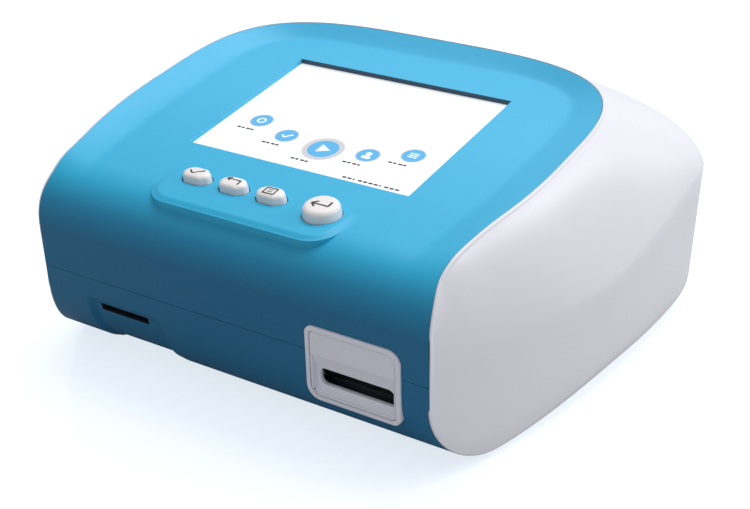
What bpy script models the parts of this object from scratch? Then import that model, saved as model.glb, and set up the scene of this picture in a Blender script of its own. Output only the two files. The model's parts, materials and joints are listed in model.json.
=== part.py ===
"""Benchtop analyser for test cartridges, with a tilted touch screen and four keys.

Lengths are millimetres in the case frame: X to the right, Y from the front face to the rear, Z up
from the table. make_object turns them into metres and puts them under one empty, which centres the
case on the world origin.
"""
import math

import bmesh
import bpy
from mathutils import Matrix, Vector

MM = 0.001
GAP = 0.3  # clearance that touching pieces keep

# ---- case outline, seen from above
CASE_DEPTH = 231.0
FRONT_PROUD = 1.0  # how far the slot surround stands out of the front face
WALL = 2.5
SIDE_ARC_RADIUS = 405.0
WIDEST_Y = 166.0
HALF_WIDTH = 135.0
REAR_POWER = 3.0

# ---- case outline, seen from the side
CASE_BOTTOM = 2.4
UNDERCUT_RADIUS = 34.0
UNDERCUT_TOP = CASE_BOTTOM + UNDERCUT_RADIUS
BROW_RADIUS = 26.0
PANEL_TILT = math.radians(6.87)
PANEL_FRONT_HEIGHT = 87.3  # height of the panel's plane above the front face
PARTING_HEIGHT = 45.8
UNDERSIDE_END = 30.0  # where the lower front meets the base plate

# ---- seam between the blue covers and the white housing
SEAM_FRONT_HALF = 99.4
SEAM_HALF = 106.1
SEAM_WAIST = 2.0  # how far the seam draws in around the brow
SEAM_TURN_Y = 97.2
SEAM_REAR_Y = 176.8
SEAM_POWER = 3.5
RIM_HEIGHT = 4.9
LEAST_RIM_SHARE = 0.4  # of that height, left at the foot of the brow
DISH_HALF = 88.5
DISH_FRONT_HALF = 82.0
DISH_REAR_Y = 166.7
DISH_POWER = 5.0

# ---- cheeks and rear deck of the white housing
CREASE_FRONT = 52.0
CREASE_REAR = 71.0
SHOULDER_ANGLE = math.radians(27.0)
CREASE_ANGLE = math.radians(20.0)  # how far the shoulder still leans at the crease
WALL_TUCK = 0.04  # how far the wall leans in, per millimetre below the crease
BOTTOM_FILLET = 12.0
LEAST_FILLET = 0.6

# ---- front openings
SURROUND = (42.5, 86.9, 23.9, 57.6)  # low x, high x, low z, high z
SLOT = (48.2, 83.0, 30.8, 38.2)
SLOT_CREASE = 44.5
CARD_SLOT = (-70.1, -42.9, 30.0, 33.6)
CARD_RECESS = (-77.0, -33.0, 36.5)  # low x, high x, top z
CARD_RECESS_DEPTH = 1.8

# ---- panel openings, in the panel frame: x, u up the slope, w out of the panel
WINDOW = (57.6, 54.9, 144.1)  # half width, low u, high u
KEY_U = 29.6
KEYS = (("qc_key", -31.6), ("return_key", -12.2), ("print_key", 7.2))
KEY_SIZE = (14.2, 8.8)
KEY_TOP, KEY_BEVEL = 4.2, 1.2
ENTER_X, ENTER_U = 33.4, 28.2
ENTER_RADIUS = 8.1
ENTER_TOP, ENTER_BEVEL = 5.6, 2.0
ISLAND = (44.8, 11.6, 43.0)  # half width, low u, high u
ISLAND_HEIGHT = 0.9
ISLAND_FOOT = 18.5  # in front of this the bed reaches down to the falling brow

# ---- scanning drive
CHASSIS_X = (38.0, 92.5)
ROD_X = (45.5, 85.0)
ROD_Z = 31.0
ROD_RADIUS = 2.0
SCREW_X, SCREW_Z, SCREW_RADIUS = 65.25, 20.0, 2.5
RUNNING = 0.08

# ---- printer in the rear deck
BAY = (33.0, 184.0, 222.0)  # half width, low y, high y
LID_REAR = 217.2
LID_AXIS = (219.6, 86.6)  # y, z
KNUCKLE = 1.9
PLATEN_AXIS = (190.4, 96.0)
PLATEN_RADIUS = 3.6
PINION_DROP = 8.15
ROLL_AXIS = (204.5, 72.8)
ROLL_RADIUS = 16.0

# ---- rear sockets
SOCKET_PANEL = (58.0, 17.0, 52.0)  # half width, low z, high z
SOCKET_Y = 224.0
ROCKER_X, ROCKER_Z = 21.0, 33.0


# ------------------------------------------------------------------ scene and materials

def clear_scene():
    for old in list(bpy.data.objects):
        bpy.data.objects.remove(old, do_unlink=True)


def make_material(name, color, roughness, metallic=0.0):
    material = bpy.data.materials.new(name)
    material.use_nodes = True
    shader = material.node_tree.nodes["Principled BSDF"]
    shader.inputs["Base Color"].default_value = (*color, 1.0)
    shader.inputs["Roughness"].default_value = roughness
    shader.inputs["Metallic"].default_value = metallic
    material.diffuse_color = (*color, 1.0)
    return material


def make_materials():
    return {
        "blue_cover": make_material("blue_cover", (0.10, 0.50, 0.74), 0.42),
        "white_case": make_material("white_case", (0.86, 0.86, 0.88), 0.38),
        "light_grey": make_material("light_grey", (0.55, 0.55, 0.60), 0.45),
        "key_white": make_material("key_white", (0.90, 0.88, 0.85), 0.45),
        "dark_plastic": make_material("dark_plastic", (0.03, 0.03, 0.035), 0.5),
        "screen_glass": make_material("screen_glass", (0.92, 0.95, 0.97), 0.12),
        "steel": make_material("steel", (0.56, 0.57, 0.58), 0.35, 1.0),
        "board_green": make_material("board_green", (0.03, 0.22, 0.10), 0.5),
        "gold": make_material("gold", (0.75, 0.52, 0.18), 0.3, 1.0),
        "rubber": make_material("rubber", (0.04, 0.04, 0.04), 0.8),
        "paper": make_material("paper", (0.93, 0.93, 0.90), 0.8),
    }


def make_frames():
    """The case empty carries every piece; the panel empty lies in the sloping panel's plane."""
    case = bpy.data.objects.new("case_frame", None)
    rear = base_place(len(TOP) - 1)[0].y
    case.location = (0.0, -(rear - FRONT_PROUD) / 2 * MM, 0.0)
    panel = bpy.data.objects.new("panel_frame", None)
    panel.parent = case
    panel.location = (0.0, 0.0, PANEL_FRONT_HEIGHT * MM)
    panel.rotation_euler = (PANEL_TILT, 0.0, 0.0)
    for frame in (case, panel):
        bpy.context.scene.collection.objects.link(frame)
    return case, panel


def make_object(name, mesh_builder, material, parent, origin=(0.0, 0.0, 0.0), smooth=False):
    """Turns a bmesh in millimetres into an object whose origin is at the given point."""
    bm = mesh_builder
    bmesh.ops.recalc_face_normals(bm, faces=bm.faces)
    bmesh.ops.translate(bm, verts=bm.verts, vec=-Vector(origin))
    bmesh.ops.scale(bm, verts=bm.verts, vec=(MM, MM, MM))
    mesh = bpy.data.meshes.new(name)
    bm.to_mesh(mesh)
    bm.free()
    if smooth:
        mesh.shade_smooth()
        mesh.set_sharp_from_angle(angle=math.radians(35.0))
    obj = bpy.data.objects.new(name, mesh)
    obj.parent = parent
    obj.location = Vector(origin) * MM
    bpy.context.scene.collection.objects.link(obj)
    if material:
        mesh.materials.append(material)
    return obj


def combine(target, bm, operation):
    """Adds a live Boolean whose helper object the renders and the build leave out."""
    name = f"{target.name}_{operation.lower()}_{len(target.modifiers)}"
    helper = make_object(name, bm, None, target.parent)
    helper.hide_render = True
    helper.display_type = "WIRE"
    modifier = target.modifiers.new(name, "BOOLEAN")
    modifier.object = helper
    modifier.operation = operation


def cut(target, *shapes):
    for bm in shapes:
        combine(target, bm, "DIFFERENCE")


def join(target, *shapes):
    for bm in shapes:
        combine(target, bm, "UNION")


# ------------------------------------------------------------------ basic shapes

def box(low, high):
    bm = bmesh.new()
    bmesh.ops.create_cube(bm, size=1.0)
    middle = (Vector(low) + Vector(high)) / 2
    sides = Vector(high) - Vector(low)
    bmesh.ops.scale(bm, verts=bm.verts, vec=sides)
    bmesh.ops.translate(bm, verts=bm.verts, vec=middle)
    return bm


def prism(outline, axis, low, high):
    """Extrudes an outline of (a, b) points along one axis; a and b are the other two, in X, Y, Z order."""
    def place(a, b, c):
        point = [a, b]
        point.insert("XYZ".index(axis), c)
        return point

    bm = bmesh.new()
    near = [bm.verts.new(place(a, b, low)) for a, b in outline]
    far = [bm.verts.new(place(a, b, high)) for a, b in outline]
    bm.faces.new(near)
    bm.faces.new(far)
    count = len(outline)
    for i in range(count):
        j = (i + 1) % count
        bm.faces.new((near[i], near[j], far[j], far[i]))
    return bm


def circle(a, b, radius, sides):
    turn = 2 * math.pi / sides
    return [(a + radius * math.cos(i * turn), b + radius * math.sin(i * turn)) for i in range(sides)]


def rounded(low_a, high_a, low_b, high_b, radius, steps=3):
    """A rectangle with round corners, as (a, b) points."""
    outline = []
    corners = (
        (high_a - radius, high_b - radius, 0),
        (low_a + radius, high_b - radius, 90),
        (low_a + radius, low_b + radius, 180),
        (high_a - radius, low_b + radius, 270),
    )
    for a, b, start in corners:
        for i in range(steps + 1):
            turn = math.radians(start + 90.0 * i / steps)
            outline.append((a + radius * math.cos(turn), b + radius * math.sin(turn)))
    return outline


def gear_outline(a, b, teeth, pitch_radius, phase):
    """A spur gear with straight flanks, 0.9 mm deep, that meshes with its neighbour with some play."""
    tip, root = pitch_radius + 0.4, pitch_radius - 0.55
    pitch = 2 * math.pi / teeth
    outline = []
    for i in range(teeth):
        middle = i * pitch + phase
        for radius, share in ((root, -0.28), (tip, -0.13), (tip, 0.13), (root, 0.28)):
            angle = middle + share * pitch
            outline.append((a + radius * math.cos(angle), b + radius * math.sin(angle)))
    return outline


def sheet(outer, inner):
    """A closed wall between two grids of points, rows by columns."""
    bm = bmesh.new()
    rows, columns = len(outer), len(outer[0])
    skins = []
    for grid in (outer, inner):
        skins.append([[bm.verts.new(point) for point in row] for row in grid])
    for skin in skins:
        for i in range(rows - 1):
            for j in range(columns - 1):
                bm.faces.new((skin[i][j], skin[i][j + 1], skin[i + 1][j + 1], skin[i + 1][j]))
    top, bottom = skins
    for i in range(rows - 1):
        for j in (0, columns - 1):
            bm.faces.new((top[i][j], top[i + 1][j], bottom[i + 1][j], bottom[i][j]))
    for j in range(columns - 1):
        for i in (0, rows - 1):
            bm.faces.new((top[i][j], top[i][j + 1], bottom[i][j + 1], bottom[i][j]))
    return bm


# ------------------------------------------------------------------ outline functions

def ease(t):
    t = min(max(t, 0.0), 1.0)
    return t * t * (3 - 2 * t)


def wall_half(y):
    """Half width of the case at its widest height, in front of the widest place."""
    side = min((WIDEST_Y - y) / SIDE_ARC_RADIUS, 1.0)
    return HALF_WIDTH - SIDE_ARC_RADIUS * (1 - math.sqrt(1 - side * side))


def base_outline():
    """The right half of the case outline from SEAM_TURN_Y round to the middle of the rear."""
    points = []
    steps = 40
    for i in range(steps):
        y = SEAM_TURN_Y + (WIDEST_Y - SEAM_TURN_Y) * i / steps
        points.append((wall_half(y), y))
    for i in range(steps + 1):
        turn = math.pi / 2 * i / steps
        x = HALF_WIDTH * math.cos(turn) ** (2 / REAR_POWER) if i < steps else 0.0
        y = WIDEST_Y + (CASE_DEPTH - WIDEST_Y) * math.sin(turn) ** (2 / REAR_POWER)
        points.append((x, y))
    return points


def along(points, share):
    """The point at a share of a polyline's length, and the outward direction there."""
    lengths = [math.dist(a, b) for a, b in zip(points, points[1:])]
    left = share * sum(lengths)
    for (ax, ay), (bx, by), length in zip(points, points[1:], lengths):
        if left <= length or (bx, by) == points[-1]:
            t = left / length
            out = Vector((by - ay, ax - bx)).normalized()
            return Vector((ax + (bx - ax) * t, ay + (by - ay) * t)), out
        left -= length


def seam_half(y):
    """Half width of the blue covers along the panel, as far as the seam's rear bend."""
    waist = SEAM_WAIST * ease(y / 12.0) * (1 - ease((y - 20.0) / 50.0))
    return SEAM_FRONT_HALF + (SEAM_HALF - SEAM_FRONT_HALF) * ease(y / 90.0) - waist


def rim_height(y):
    """Height of the seam over the panel, which sinks towards the foot of the brow."""
    return RIM_HEIGHT * (LEAST_RIM_SHARE + (1 - LEAST_RIM_SHARE) * ease(y / 50.0))


def gauge(x, y, half, rear_y, power):
    """1 on a bent outline, less inside it, more outside it."""
    if y <= SEAM_TURN_Y:
        return abs(x) / half
    ahead = (y - SEAM_TURN_Y) / (rear_y - SEAM_TURN_Y)
    return ((abs(x) / half) ** power + ahead ** power) ** (1 / power)


def rim(x, y):
    """How far the dished panel has risen towards the seam."""
    dish_half = DISH_FRONT_HALF + (DISH_HALF - DISH_FRONT_HALF) * ease(y / 80.0)
    inside = gauge(x, y, dish_half, DISH_REAR_Y, DISH_POWER) - 1
    half = seam_half(y) if y <= SEAM_TURN_Y else SEAM_HALF
    outside = 1 - gauge(x, y, half, SEAM_REAR_Y, SEAM_POWER)
    if inside <= 0:
        return 0.0
    share = inside / (inside + max(outside, 0.0))
    return rim_height(y) * share ** 1.3


def panel_height(y):
    return PANEL_FRONT_HEIGHT + y * math.tan(PANEL_TILT)


BROW_TURN = math.pi / 2 - PANEL_TILT
BROW_Y = BROW_RADIUS * (1 - math.cos(BROW_TURN))
BROW_BASE = panel_height(BROW_Y) - BROW_RADIUS * math.sin(BROW_TURN)
BROW_STEPS = 7


def undercut_height(y, inset=0.0):
    reach = UNDERCUT_RADIUS - inset
    ahead = min(max(UNDERCUT_RADIUS - y, 0.0), reach)
    return UNDERCUT_TOP - math.sqrt(reach * reach - ahead * ahead)


def fillet_radius(y):
    """The cheek's bottom fillet, which fades out towards the front corner."""
    return LEAST_FILLET + (BOTTOM_FILLET - LEAST_FILLET) * ease((y - 10.0) / 110.0)


def crease_height(y):
    return CREASE_FRONT + (CREASE_REAR - CREASE_FRONT) * ease((y - 90.0) / 95.0)


# ------------------------------------------------------------------ stations along the seam

def unit(*values):
    return Vector(values).normalized()


def bisector(blue, white):
    """The direction that splits two wall normals, stretched so that both walls keep their thickness."""
    middle = (blue + white).normalized()
    return middle / max(middle.dot(blue), 0.5)


def top_stations():
    """Seam points from the foot of the brow to the rear: point, inward offset, plan direction out."""
    stations = []
    rows = [(BROW_RADIUS * (1 - math.cos(BROW_TURN * i / BROW_STEPS)), BROW_TURN * i / BROW_STEPS)
            for i in range(BROW_STEPS + 1)]
    rows += [(y, BROW_TURN) for y in (26.5, 30.0, 36.0, 44.0, 58.0, 72.0, 86.0, SEAM_TURN_Y)]
    for y, turn in rows:
        height = BROW_BASE + BROW_RADIUS * math.sin(turn) if y <= BROW_Y else panel_height(y)
        point = Vector((seam_half(y), y, height + rim_height(y)))
        blue = unit(0.0, -math.cos(turn), math.sin(turn))
        white = unit(0.91, -0.41, 0.1).lerp(unit(0.47, 0.0, 0.88), ease(y / 60.0)).normalized()
        stations.append((point, bisector(blue, white), Vector((1.0, 0.0, 0.0))))
    for degrees in (10, 20, 30, 40, 50, 60, 70, 78, 84, 88):
        turn = math.radians(degrees)
        x = SEAM_HALF * math.cos(turn) ** (2 / SEAM_POWER)
        y = SEAM_TURN_Y + (SEAM_REAR_Y - SEAM_TURN_Y) * math.sin(turn) ** (2 / SEAM_POWER)
        reach = SEAM_REAR_Y - SEAM_TURN_Y
        out = unit((x / SEAM_HALF) ** 2.5 / SEAM_HALF, ((y - SEAM_TURN_Y) / reach) ** 2.5 / reach, 0.0)
        point = Vector((x, y, panel_height(y) + RIM_HEIGHT))
        blue = unit(0.0, -math.sin(PANEL_TILT), math.cos(PANEL_TILT))
        white = (out * math.sin(SHOULDER_ANGLE) + Vector((0, 0, math.cos(SHOULDER_ANGLE)))).normalized()
        stations.append((point, bisector(blue, white), out))
    return stations


def underside_stations(ys):
    """Seam points along the undercut, for the same distances behind the front as the brow's."""
    stations = []
    for y in ys:
        turn = math.acos((UNDERCUT_RADIUS - y) / UNDERCUT_RADIUS)
        blue = unit(0.0, -math.cos(turn), -math.sin(turn))
        white = unit(0.91, -0.41, -0.05).lerp(unit(0.25, -0.05, -0.95), ease(y / 34.0)).normalized()
        point = Vector((wall_half(y) - fillet_radius(y), y, undercut_height(y)))
        stations.append((point, bisector(blue, white), Vector((1.0, 0.0, 0.0))))
    return stations


def front_stations(heights):
    direction = bisector(unit(0.0, -1.0, 0.0), unit(0.91, -0.41, 0.0))
    return [(Vector((SEAM_FRONT_HALF, 0.0, z)), direction, Vector((1.0, 0.0, 0.0))) for z in heights]


TOP = top_stations()
FRONT_COLUMNS = [point.y for point, _, _ in TOP if 0.0 < point.y <= UNDERSIDE_END]
UNDERSIDE = underside_stations(FRONT_COLUMNS)


# ------------------------------------------------------------------ blue covers

REAR_BAND_Y = 172.0  # behind this every point is close to the seam, and shares its mitre
ACROSS = (0.0, 0.2, 0.4, 0.6, 0.72, 0.8, 0.835, 0.9, 0.95, 1.0)


def blue_row(station, across, is_top):
    """One row of outer and inner points between the left and the right seam."""
    point, offset, out = station
    edge = point - out * 0.2
    flat_normal = row_normal(point, is_top)
    outer, inner = [], []
    for share in across:
        side = -1.0 if share < 0 else 1.0
        x = abs(share) * edge.x
        height = point.z - rim_height(point.y) + rim(x, point.y) if is_top else point.z
        on_edge = abs(share) == 1.0 or station is TOP[-1]
        place = Vector((x, edge.y if on_edge else point.y, height))
        if abs(share) < 1.0:
            depth = recess(side * x, place.z) if not is_top else 0.0
            place -= flat_normal * depth
            under = place - (offset if point.y > REAR_BAND_Y else flat_normal) * WALL
        else:
            place.z = point.z
            under = edge - offset * WALL
        outer.append((side * place.x, place.y, place.z))
        inner.append((side * under.x, under.y, under.z))
    return outer, inner


def row_normal(point, is_top):
    if is_top:
        turn = math.acos(1 - min(point.y, BROW_Y) / BROW_RADIUS)
        return unit(0.0, -math.cos(turn), math.sin(turn))
    turn = math.acos((UNDERCUT_RADIUS - point.y) / UNDERCUT_RADIUS)
    return unit(0.0, -math.cos(turn), -math.sin(turn))


def recess(x, z):
    """Depth of the shallow recess around the memory card slot."""
    low, high, top = CARD_RECESS
    edge = 3.0
    across = ease((x - low) / edge) * ease((high - x) / edge)
    return CARD_RECESS_DEPTH * across * ease((top - z) / edge)


def blue_cover(rows, across):
    grids = [blue_row(station, across, is_top) for station, is_top in rows]
    return sheet([outer for outer, _ in grids], [inner for _, inner in grids])


def mirrored(shares):
    return [-share for share in reversed(shares) if share > 0] + list(shares)


def panel_box(half, low_u, high_u, low_w, high_w):
    return box((-half, low_u, low_w), (half, high_u, high_w))


def into_panel(bm):
    """Moves a shape from the panel frame into the case frame."""
    turn = Matrix.Translation((0.0, 0.0, PANEL_FRONT_HEIGHT)) @ Matrix.Rotation(PANEL_TILT, 4, "X")
    bmesh.ops.transform(bm, matrix=turn, verts=bm.verts)
    return bm


def key_outline(x, grow=0.0):
    """A flat-sided oval: a rectangle whose four corners are cut back."""
    a, b = KEY_SIZE[0] / 2 + grow, KEY_SIZE[1] / 2 + grow
    corner = 3.1
    return [
        (x + a, KEY_U - b + corner), (x + a, KEY_U + b - corner), (x + a - corner, KEY_U + b),
        (x - a + corner, KEY_U + b), (x - a, KEY_U + b - corner), (x - a, KEY_U - b + corner),
        (x - a + corner, KEY_U - b), (x + a - corner, KEY_U - b),
    ]


def make_upper_cover(materials, case):
    rows = [(station, False) for station in front_stations((PARTING_HEIGHT + GAP / 2, 58.0))]
    rows += [(station, True) for station in TOP]
    cover = make_object("upper_cover", blue_cover(rows, mirrored(ACROSS)), materials["blue_cover"],
                        case, smooth=True)
    half, low_u, high_u = ISLAND
    island = prism(rounded(-half, half, low_u, high_u, 9.0, 5), "Z", -1.6, ISLAND_HEIGHT)
    for vertex in island.verts:
        if vertex.co.z > 0.0:
            vertex.co.z -= 1.2 * ISLAND_HEIGHT * ease((vertex.co.y - KEY_U) / (high_u - KEY_U))
        else:
            vertex.co.z -= 0.32 * max(ISLAND_FOOT - vertex.co.y, 0.0)
    join(cover, into_panel(island))
    half, low_u, high_u = WINDOW
    cut(cover, into_panel(panel_box(half, low_u, high_u, -6.0, 6.0)))
    for _, x in KEYS:
        cut(cover, into_panel(prism(key_outline(x, 0.35), "Z", -6.0, 6.0)))
    cut(cover, into_panel(prism(circle(ENTER_X, ENTER_U, ENTER_RADIUS + 0.35, 32), "Z", -6.0, 6.0)))
    cut(cover, surround_hole())
    return cover


def surround_hole():
    low_x, high_x, low_z, high_z = SURROUND
    return prism(rounded(low_x - GAP, high_x + GAP, low_z - GAP, high_z + GAP, 4.0), "Y", -5.0, 10.0)


def make_lower_front(materials, case):
    shares = sorted(set(mirrored(ACROSS)) | {share for share in recess_shares()})
    rows = [(station, False) for station in reversed(UNDERSIDE)]
    rows += [(station, False) for station in front_stations((UNDERCUT_TOP, 39.5, PARTING_HEIGHT - GAP / 2))]
    cover = make_object("lower_front_cover", blue_cover(rows, shares), materials["blue_cover"],
                        case, smooth=True)
    low_x, high_x, low_z, high_z = CARD_SLOT
    cut(cover, box((low_x, -5.0, low_z), (high_x, 12.0, high_z)), surround_hole())
    return cover


def recess_shares():
    """Columns at the foot and the head of the card recess's two side slopes."""
    low, high, _ = CARD_RECESS
    edge = 3.0
    return [x / SEAM_FRONT_HALF for x in (low, low + edge, high - edge, high)]


# ------------------------------------------------------------------ white housing

SHOULDER_STEPS = 6
FILLET_STEPS = 3


def curve(points, t):
    a, b, c, d = points
    s = 1 - t
    return a * s ** 3 + b * (3 * s * s * t) + c * (3 * s * t * t) + d * t ** 3


def base_place(index):
    """Outline point under a seam station, and the direction out of the case there."""
    y = TOP[index][0].y
    if y <= SEAM_TURN_Y:
        lean = (WIDEST_Y - y) / SIDE_ARC_RADIUS
        return Vector((wall_half(y), y)), Vector((math.sqrt(1 - lean * lean), -lean))
    bend = [(point.x, point.y) for point, _, _ in TOP if point.y >= SEAM_TURN_Y]
    bend.append((0.0, SEAM_REAR_Y))
    lengths = [math.dist(a, b) for a, b in zip(bend, bend[1:])]
    here = [point.y for point, _, _ in TOP if point.y >= SEAM_TURN_Y].index(y)
    run = sum(lengths[:here])
    share = run / sum(lengths)
    base = base_outline()
    base_length = sum(math.dist(a, b) for a, b in zip(base, base[1:]))
    # The outline keeps pace with the seam at first, and its extra length comes in towards the rear.
    ahead = (base_length - sum(lengths)) * share * share * (3 - share) / 2
    return along(base, (run + ahead) / base_length)


def white_column(index, depth):
    """Points from the seam down to the bottom edge; depth 0 is the outside, WALL the inside."""
    point, offset, out = TOP[index]
    top = point + out * 0.15 - offset * depth
    y = point.y
    place, away = base_place(index)
    underside = y <= UNDERSIDE_END
    if depth and underside:
        squeezed = depth * 1.04 + y * (1 - depth * 1.04 / UNDERSIDE_END)
        place = Vector((wall_half(squeezed) - depth * 1.09, squeezed))
    elif depth:
        place = place - away * depth
    if underside and not depth:
        place = place + Vector((0.15, 0.0))
    along_y = y if y <= SEAM_TURN_Y else place.y
    crease = crease_height(along_y)
    bottom = CASE_BOTTOM + depth
    if y < UNDERCUT_RADIUS:
        bottom = undercut_height(place.y if underside else y, depth)
    fillet = max(fillet_radius(along_y) - depth, LEAST_FILLET / 2)
    reach = (place - top.xy).length
    heading = (place - top.xy).normalized() if reach > 0.01 else Vector((0.0, 1.0))
    drop = top.z - crease
    first = top + Vector((*(heading * reach * 0.48 * math.cos(SHOULDER_ANGLE)),
                          -reach * 0.48 * math.sin(SHOULDER_ANGLE)))
    foot = Vector((*place, crease))
    lean = math.tan(CREASE_ANGLE * ease((y - 25.0) / 110.0)) * min(reach / 20.0, 1.0)
    lean *= ease((place.x - 40.0) / 60.0)
    last = foot + Vector((*(-heading * lean * drop * 0.42), drop * 0.42))
    handles = (top, first, last, foot)
    points = [curve(handles, i / SHOULDER_STEPS) for i in range(SHOULDER_STEPS + 1)]
    wall_low = bottom + fillet
    for share in (0.5, 1.0):
        z = crease + (wall_low - crease) * share
        tuck = away * (WALL_TUCK * (crease - z) * fillet_radius(along_y) / BOTTOM_FILLET)
        points.append(Vector((*(place - tuck), z)))
    knee = points[-1]
    inward = Vector((-1.0, 0.0)) if underside else -away
    for i in range(1, FILLET_STEPS + 1):
        turn = math.pi / 2 * i / FILLET_STEPS
        shift = inward * (fillet * (1 - math.cos(turn)))
        points.append(Vector((knee.x + shift.x, knee.y + shift.y, knee.z - fillet * math.sin(turn))))
    return points


def white_shell():
    outer = [white_column(i, 0.0) for i in range(len(TOP))]
    inner = [white_column(i, WALL) for i in range(len(TOP))]
    match_front_edge(outer[0], inner[0])
    match_underside(outer, inner)
    left = [[Vector((-p.x, p.y, p.z)) for p in column] for column in outer]
    left_inner = [[Vector((-p.x, p.y, p.z)) for p in column] for column in inner]
    return sheet(left + outer[::-1], left_inner + inner[::-1])


def match_front_edge(outer, inner):
    """The first column is the upright corner, mitred against the blue front."""
    low = UNDERCUT_TOP
    high = TOP[0][0].z
    direction = front_stations((0.0,))[0][1]
    count = len(outer)
    for i in range(count):
        z = high + (low - high) * i / (count - 1)
        outer[i] = Vector((SEAM_FRONT_HALF + 0.15, 0.0, z))
        if i:
            inner[i] = Vector((SEAM_FRONT_HALF + 0.15, 0.0, z)) - direction * WALL


def match_underside(outer, inner):
    """Ends the front columns on the seam along the undercut, mitred as the blue cover is."""
    for i, (point, offset, out) in enumerate(UNDERSIDE, start=1):
        outer[i][-1] = point + out * 0.15
        knee = inner[i][-1 - FILLET_STEPS]
        edge = outer[i][-1] - offset * WALL
        for step in range(1, FILLET_STEPS + 1):
            inner[i][-1 - FILLET_STEPS + step] = knee.lerp(edge, step / FILLET_STEPS)


def make_rear_housing(materials, case):
    housing = make_object("rear_housing", white_shell(), materials["white_case"], case, smooth=True)
    half, low_y, high_y = BAY
    cut(housing, box((-half, low_y, 70.0), (half, high_y, 125.0)))
    half, low_z, high_z = SOCKET_PANEL
    cut(housing, prism(rounded(-half, half, low_z, high_z, 3.0), "Y", 215.0, 240.0))
    for x, y in SCREW_PLACES:
        side = math.copysign(1.0, x)
        reach = 119.8 if y < 100.0 else 127.6
        low, high = sorted((x, side * reach))
        join(housing, box((low, y - 1.0, 8.0), (high, y + 1.0, 14.0)),
             prism(circle(x, y, 3.4, 12), "Z", 5.3, 16.0))
        cut(housing, prism(circle(x, y, 1.6, 12), "Z", 3.0, 13.0))
    return housing


def make_base_plate(materials, case):
    outline = []
    for index, (point, _, _) in enumerate(TOP):
        if point.y < UNDERSIDE_END - 0.01:
            continue
        place, away = base_place(index)
        inset = fillet_radius(point.y if point.y <= SEAM_TURN_Y else place.y)
        tuck = WALL_TUCK * (crease_height(place.y) - CASE_BOTTOM) * inset / BOTTOM_FILLET
        spot = place - away * (inset + tuck + 0.9)
        outline.append((spot.x, spot.y))
    corner_x = outline[0][0]
    outline.insert(0, (corner_x, UNDERSIDE_END + 1.0))
    outline += [(-x, y) for x, y in reversed(outline)]
    plate = make_object("base_plate", prism(outline, "Z", CASE_BOTTOM, CASE_BOTTOM + WALL),
                        materials["white_case"], case)
    floor = CASE_BOTTOM + WALL
    for x, y in ((-90.0, 50.0), (-90.0, 145.0), (28.0, 50.0), (28.0, 145.0)):
        join(plate, prism(circle(x, y, 3.0, 12), "Z", floor - 1.0, 10.7))
    for x in (-75.0, -38.0):
        join(plate, prism(circle(x, 35.5, 2.5, 12), "Z", floor - 1.0, 26.7))
    for x, y in SCREW_PLACES:
        cut(plate, prism(circle(x, y, 1.7, 12), "Z", 0.0, 8.0))
    return plate


SCREW_PLACES = ((-100.0, 62.0), (100.0, 62.0), (-106.0, 190.0), (106.0, 190.0))
FOOT_PLACES = {
    "foot_front_left": (-84.0, 48.0),
    "foot_front_right": (84.0, 48.0),
    "foot_rear_left": (-84.0, 200.0),
    "foot_rear_right": (84.0, 200.0),
}


def make_feet_and_screws(materials, case):
    for name, (x, y) in FOOT_PLACES.items():
        make_object(name, prism(circle(x, y, 8.0, 24), "Z", 0.0, CASE_BOTTOM - GAP),
                    materials["rubber"], case, smooth=True)
    names = ("front_left", "front_right", "rear_left", "rear_right")
    for name, (x, y) in zip(names, SCREW_PLACES):
        screw = make_object(f"base_screw_{name}", prism(circle(x, y, 1.35, 12), "Z", 1.4, 12.0),
                            materials["steel"], case, smooth=True)
        join(screw, prism(circle(x, y, 2.8, 16), "Z", 0.6, CASE_BOTTOM - GAP))
        cut(screw, box((x - 2.0, y - 0.4, 0.2), (x + 2.0, y + 0.4, 1.1)))


# ------------------------------------------------------------------ cartridge slot and card slot

def make_slot_parts(materials, case):
    low_x, high_x, low_z, high_z = SURROUND
    lip = 2.2
    ring = make_object("slot_surround",
                       prism(rounded(low_x, high_x, low_z, high_z, 3.7), "Y", -FRONT_PROUD, 4.6),
                       materials["light_grey"], case, smooth=True)
    cut(ring, prism(rounded(low_x + lip, high_x - lip, low_z + lip, high_z - lip, 2.4), "Y", -4.0, 8.0))
    edge = lip + GAP
    plate = make_object("slot_face_plate",
                        prism(rounded(low_x + edge, high_x - edge, low_z + edge, high_z - edge, 2.2),
                              "Y", -0.4, 6.4),
                        materials["light_grey"], case, smooth=True)
    left, right, bottom, top = SLOT
    scoop = [(-3.0, SLOT_CREASE + 9.1), (1.4, top), (1.4, bottom - 2.2), (-3.0, bottom - 5.0)]
    cut(plate, prism(scoop, "X", low_x + edge + 1.4, high_x - edge - 0.8))
    cut(plate, prism(rounded(left, right, bottom, top, 2.0), "Y", 0.0, 9.0))


def make_card_reader(materials, case):
    low_x, high_x, low_z, high_z = CARD_SLOT
    make_object("card_reader_board", box((low_x - 8.0, 8.0, 27.0), (high_x + 8.0, 40.0, 28.6)),
                materials["board_green"], case)
    socket = make_object("card_socket", box((low_x - 1.0, 6.2, 28.9), (high_x + 1.0, 34.0, 34.9)),
                         materials["steel"], case)
    cut(socket, box((low_x + 0.6, 4.0, 30.1), (high_x - 0.6, 30.0, 33.5)))
    contacts = make_object("card_contacts", box((low_x + 2.0, 24.0, 30.4), (high_x - 2.0, 29.6, 31.2)),
                           materials["gold"], case)
    pitch = 2.9
    for i in range(8):
        x = low_x + 3.2 + i * pitch
        join(contacts, box((x - 0.6, 12.0, 30.4), (x + 0.6, 25.0, 31.0)))


# ------------------------------------------------------------------ panel: display and keys

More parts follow.
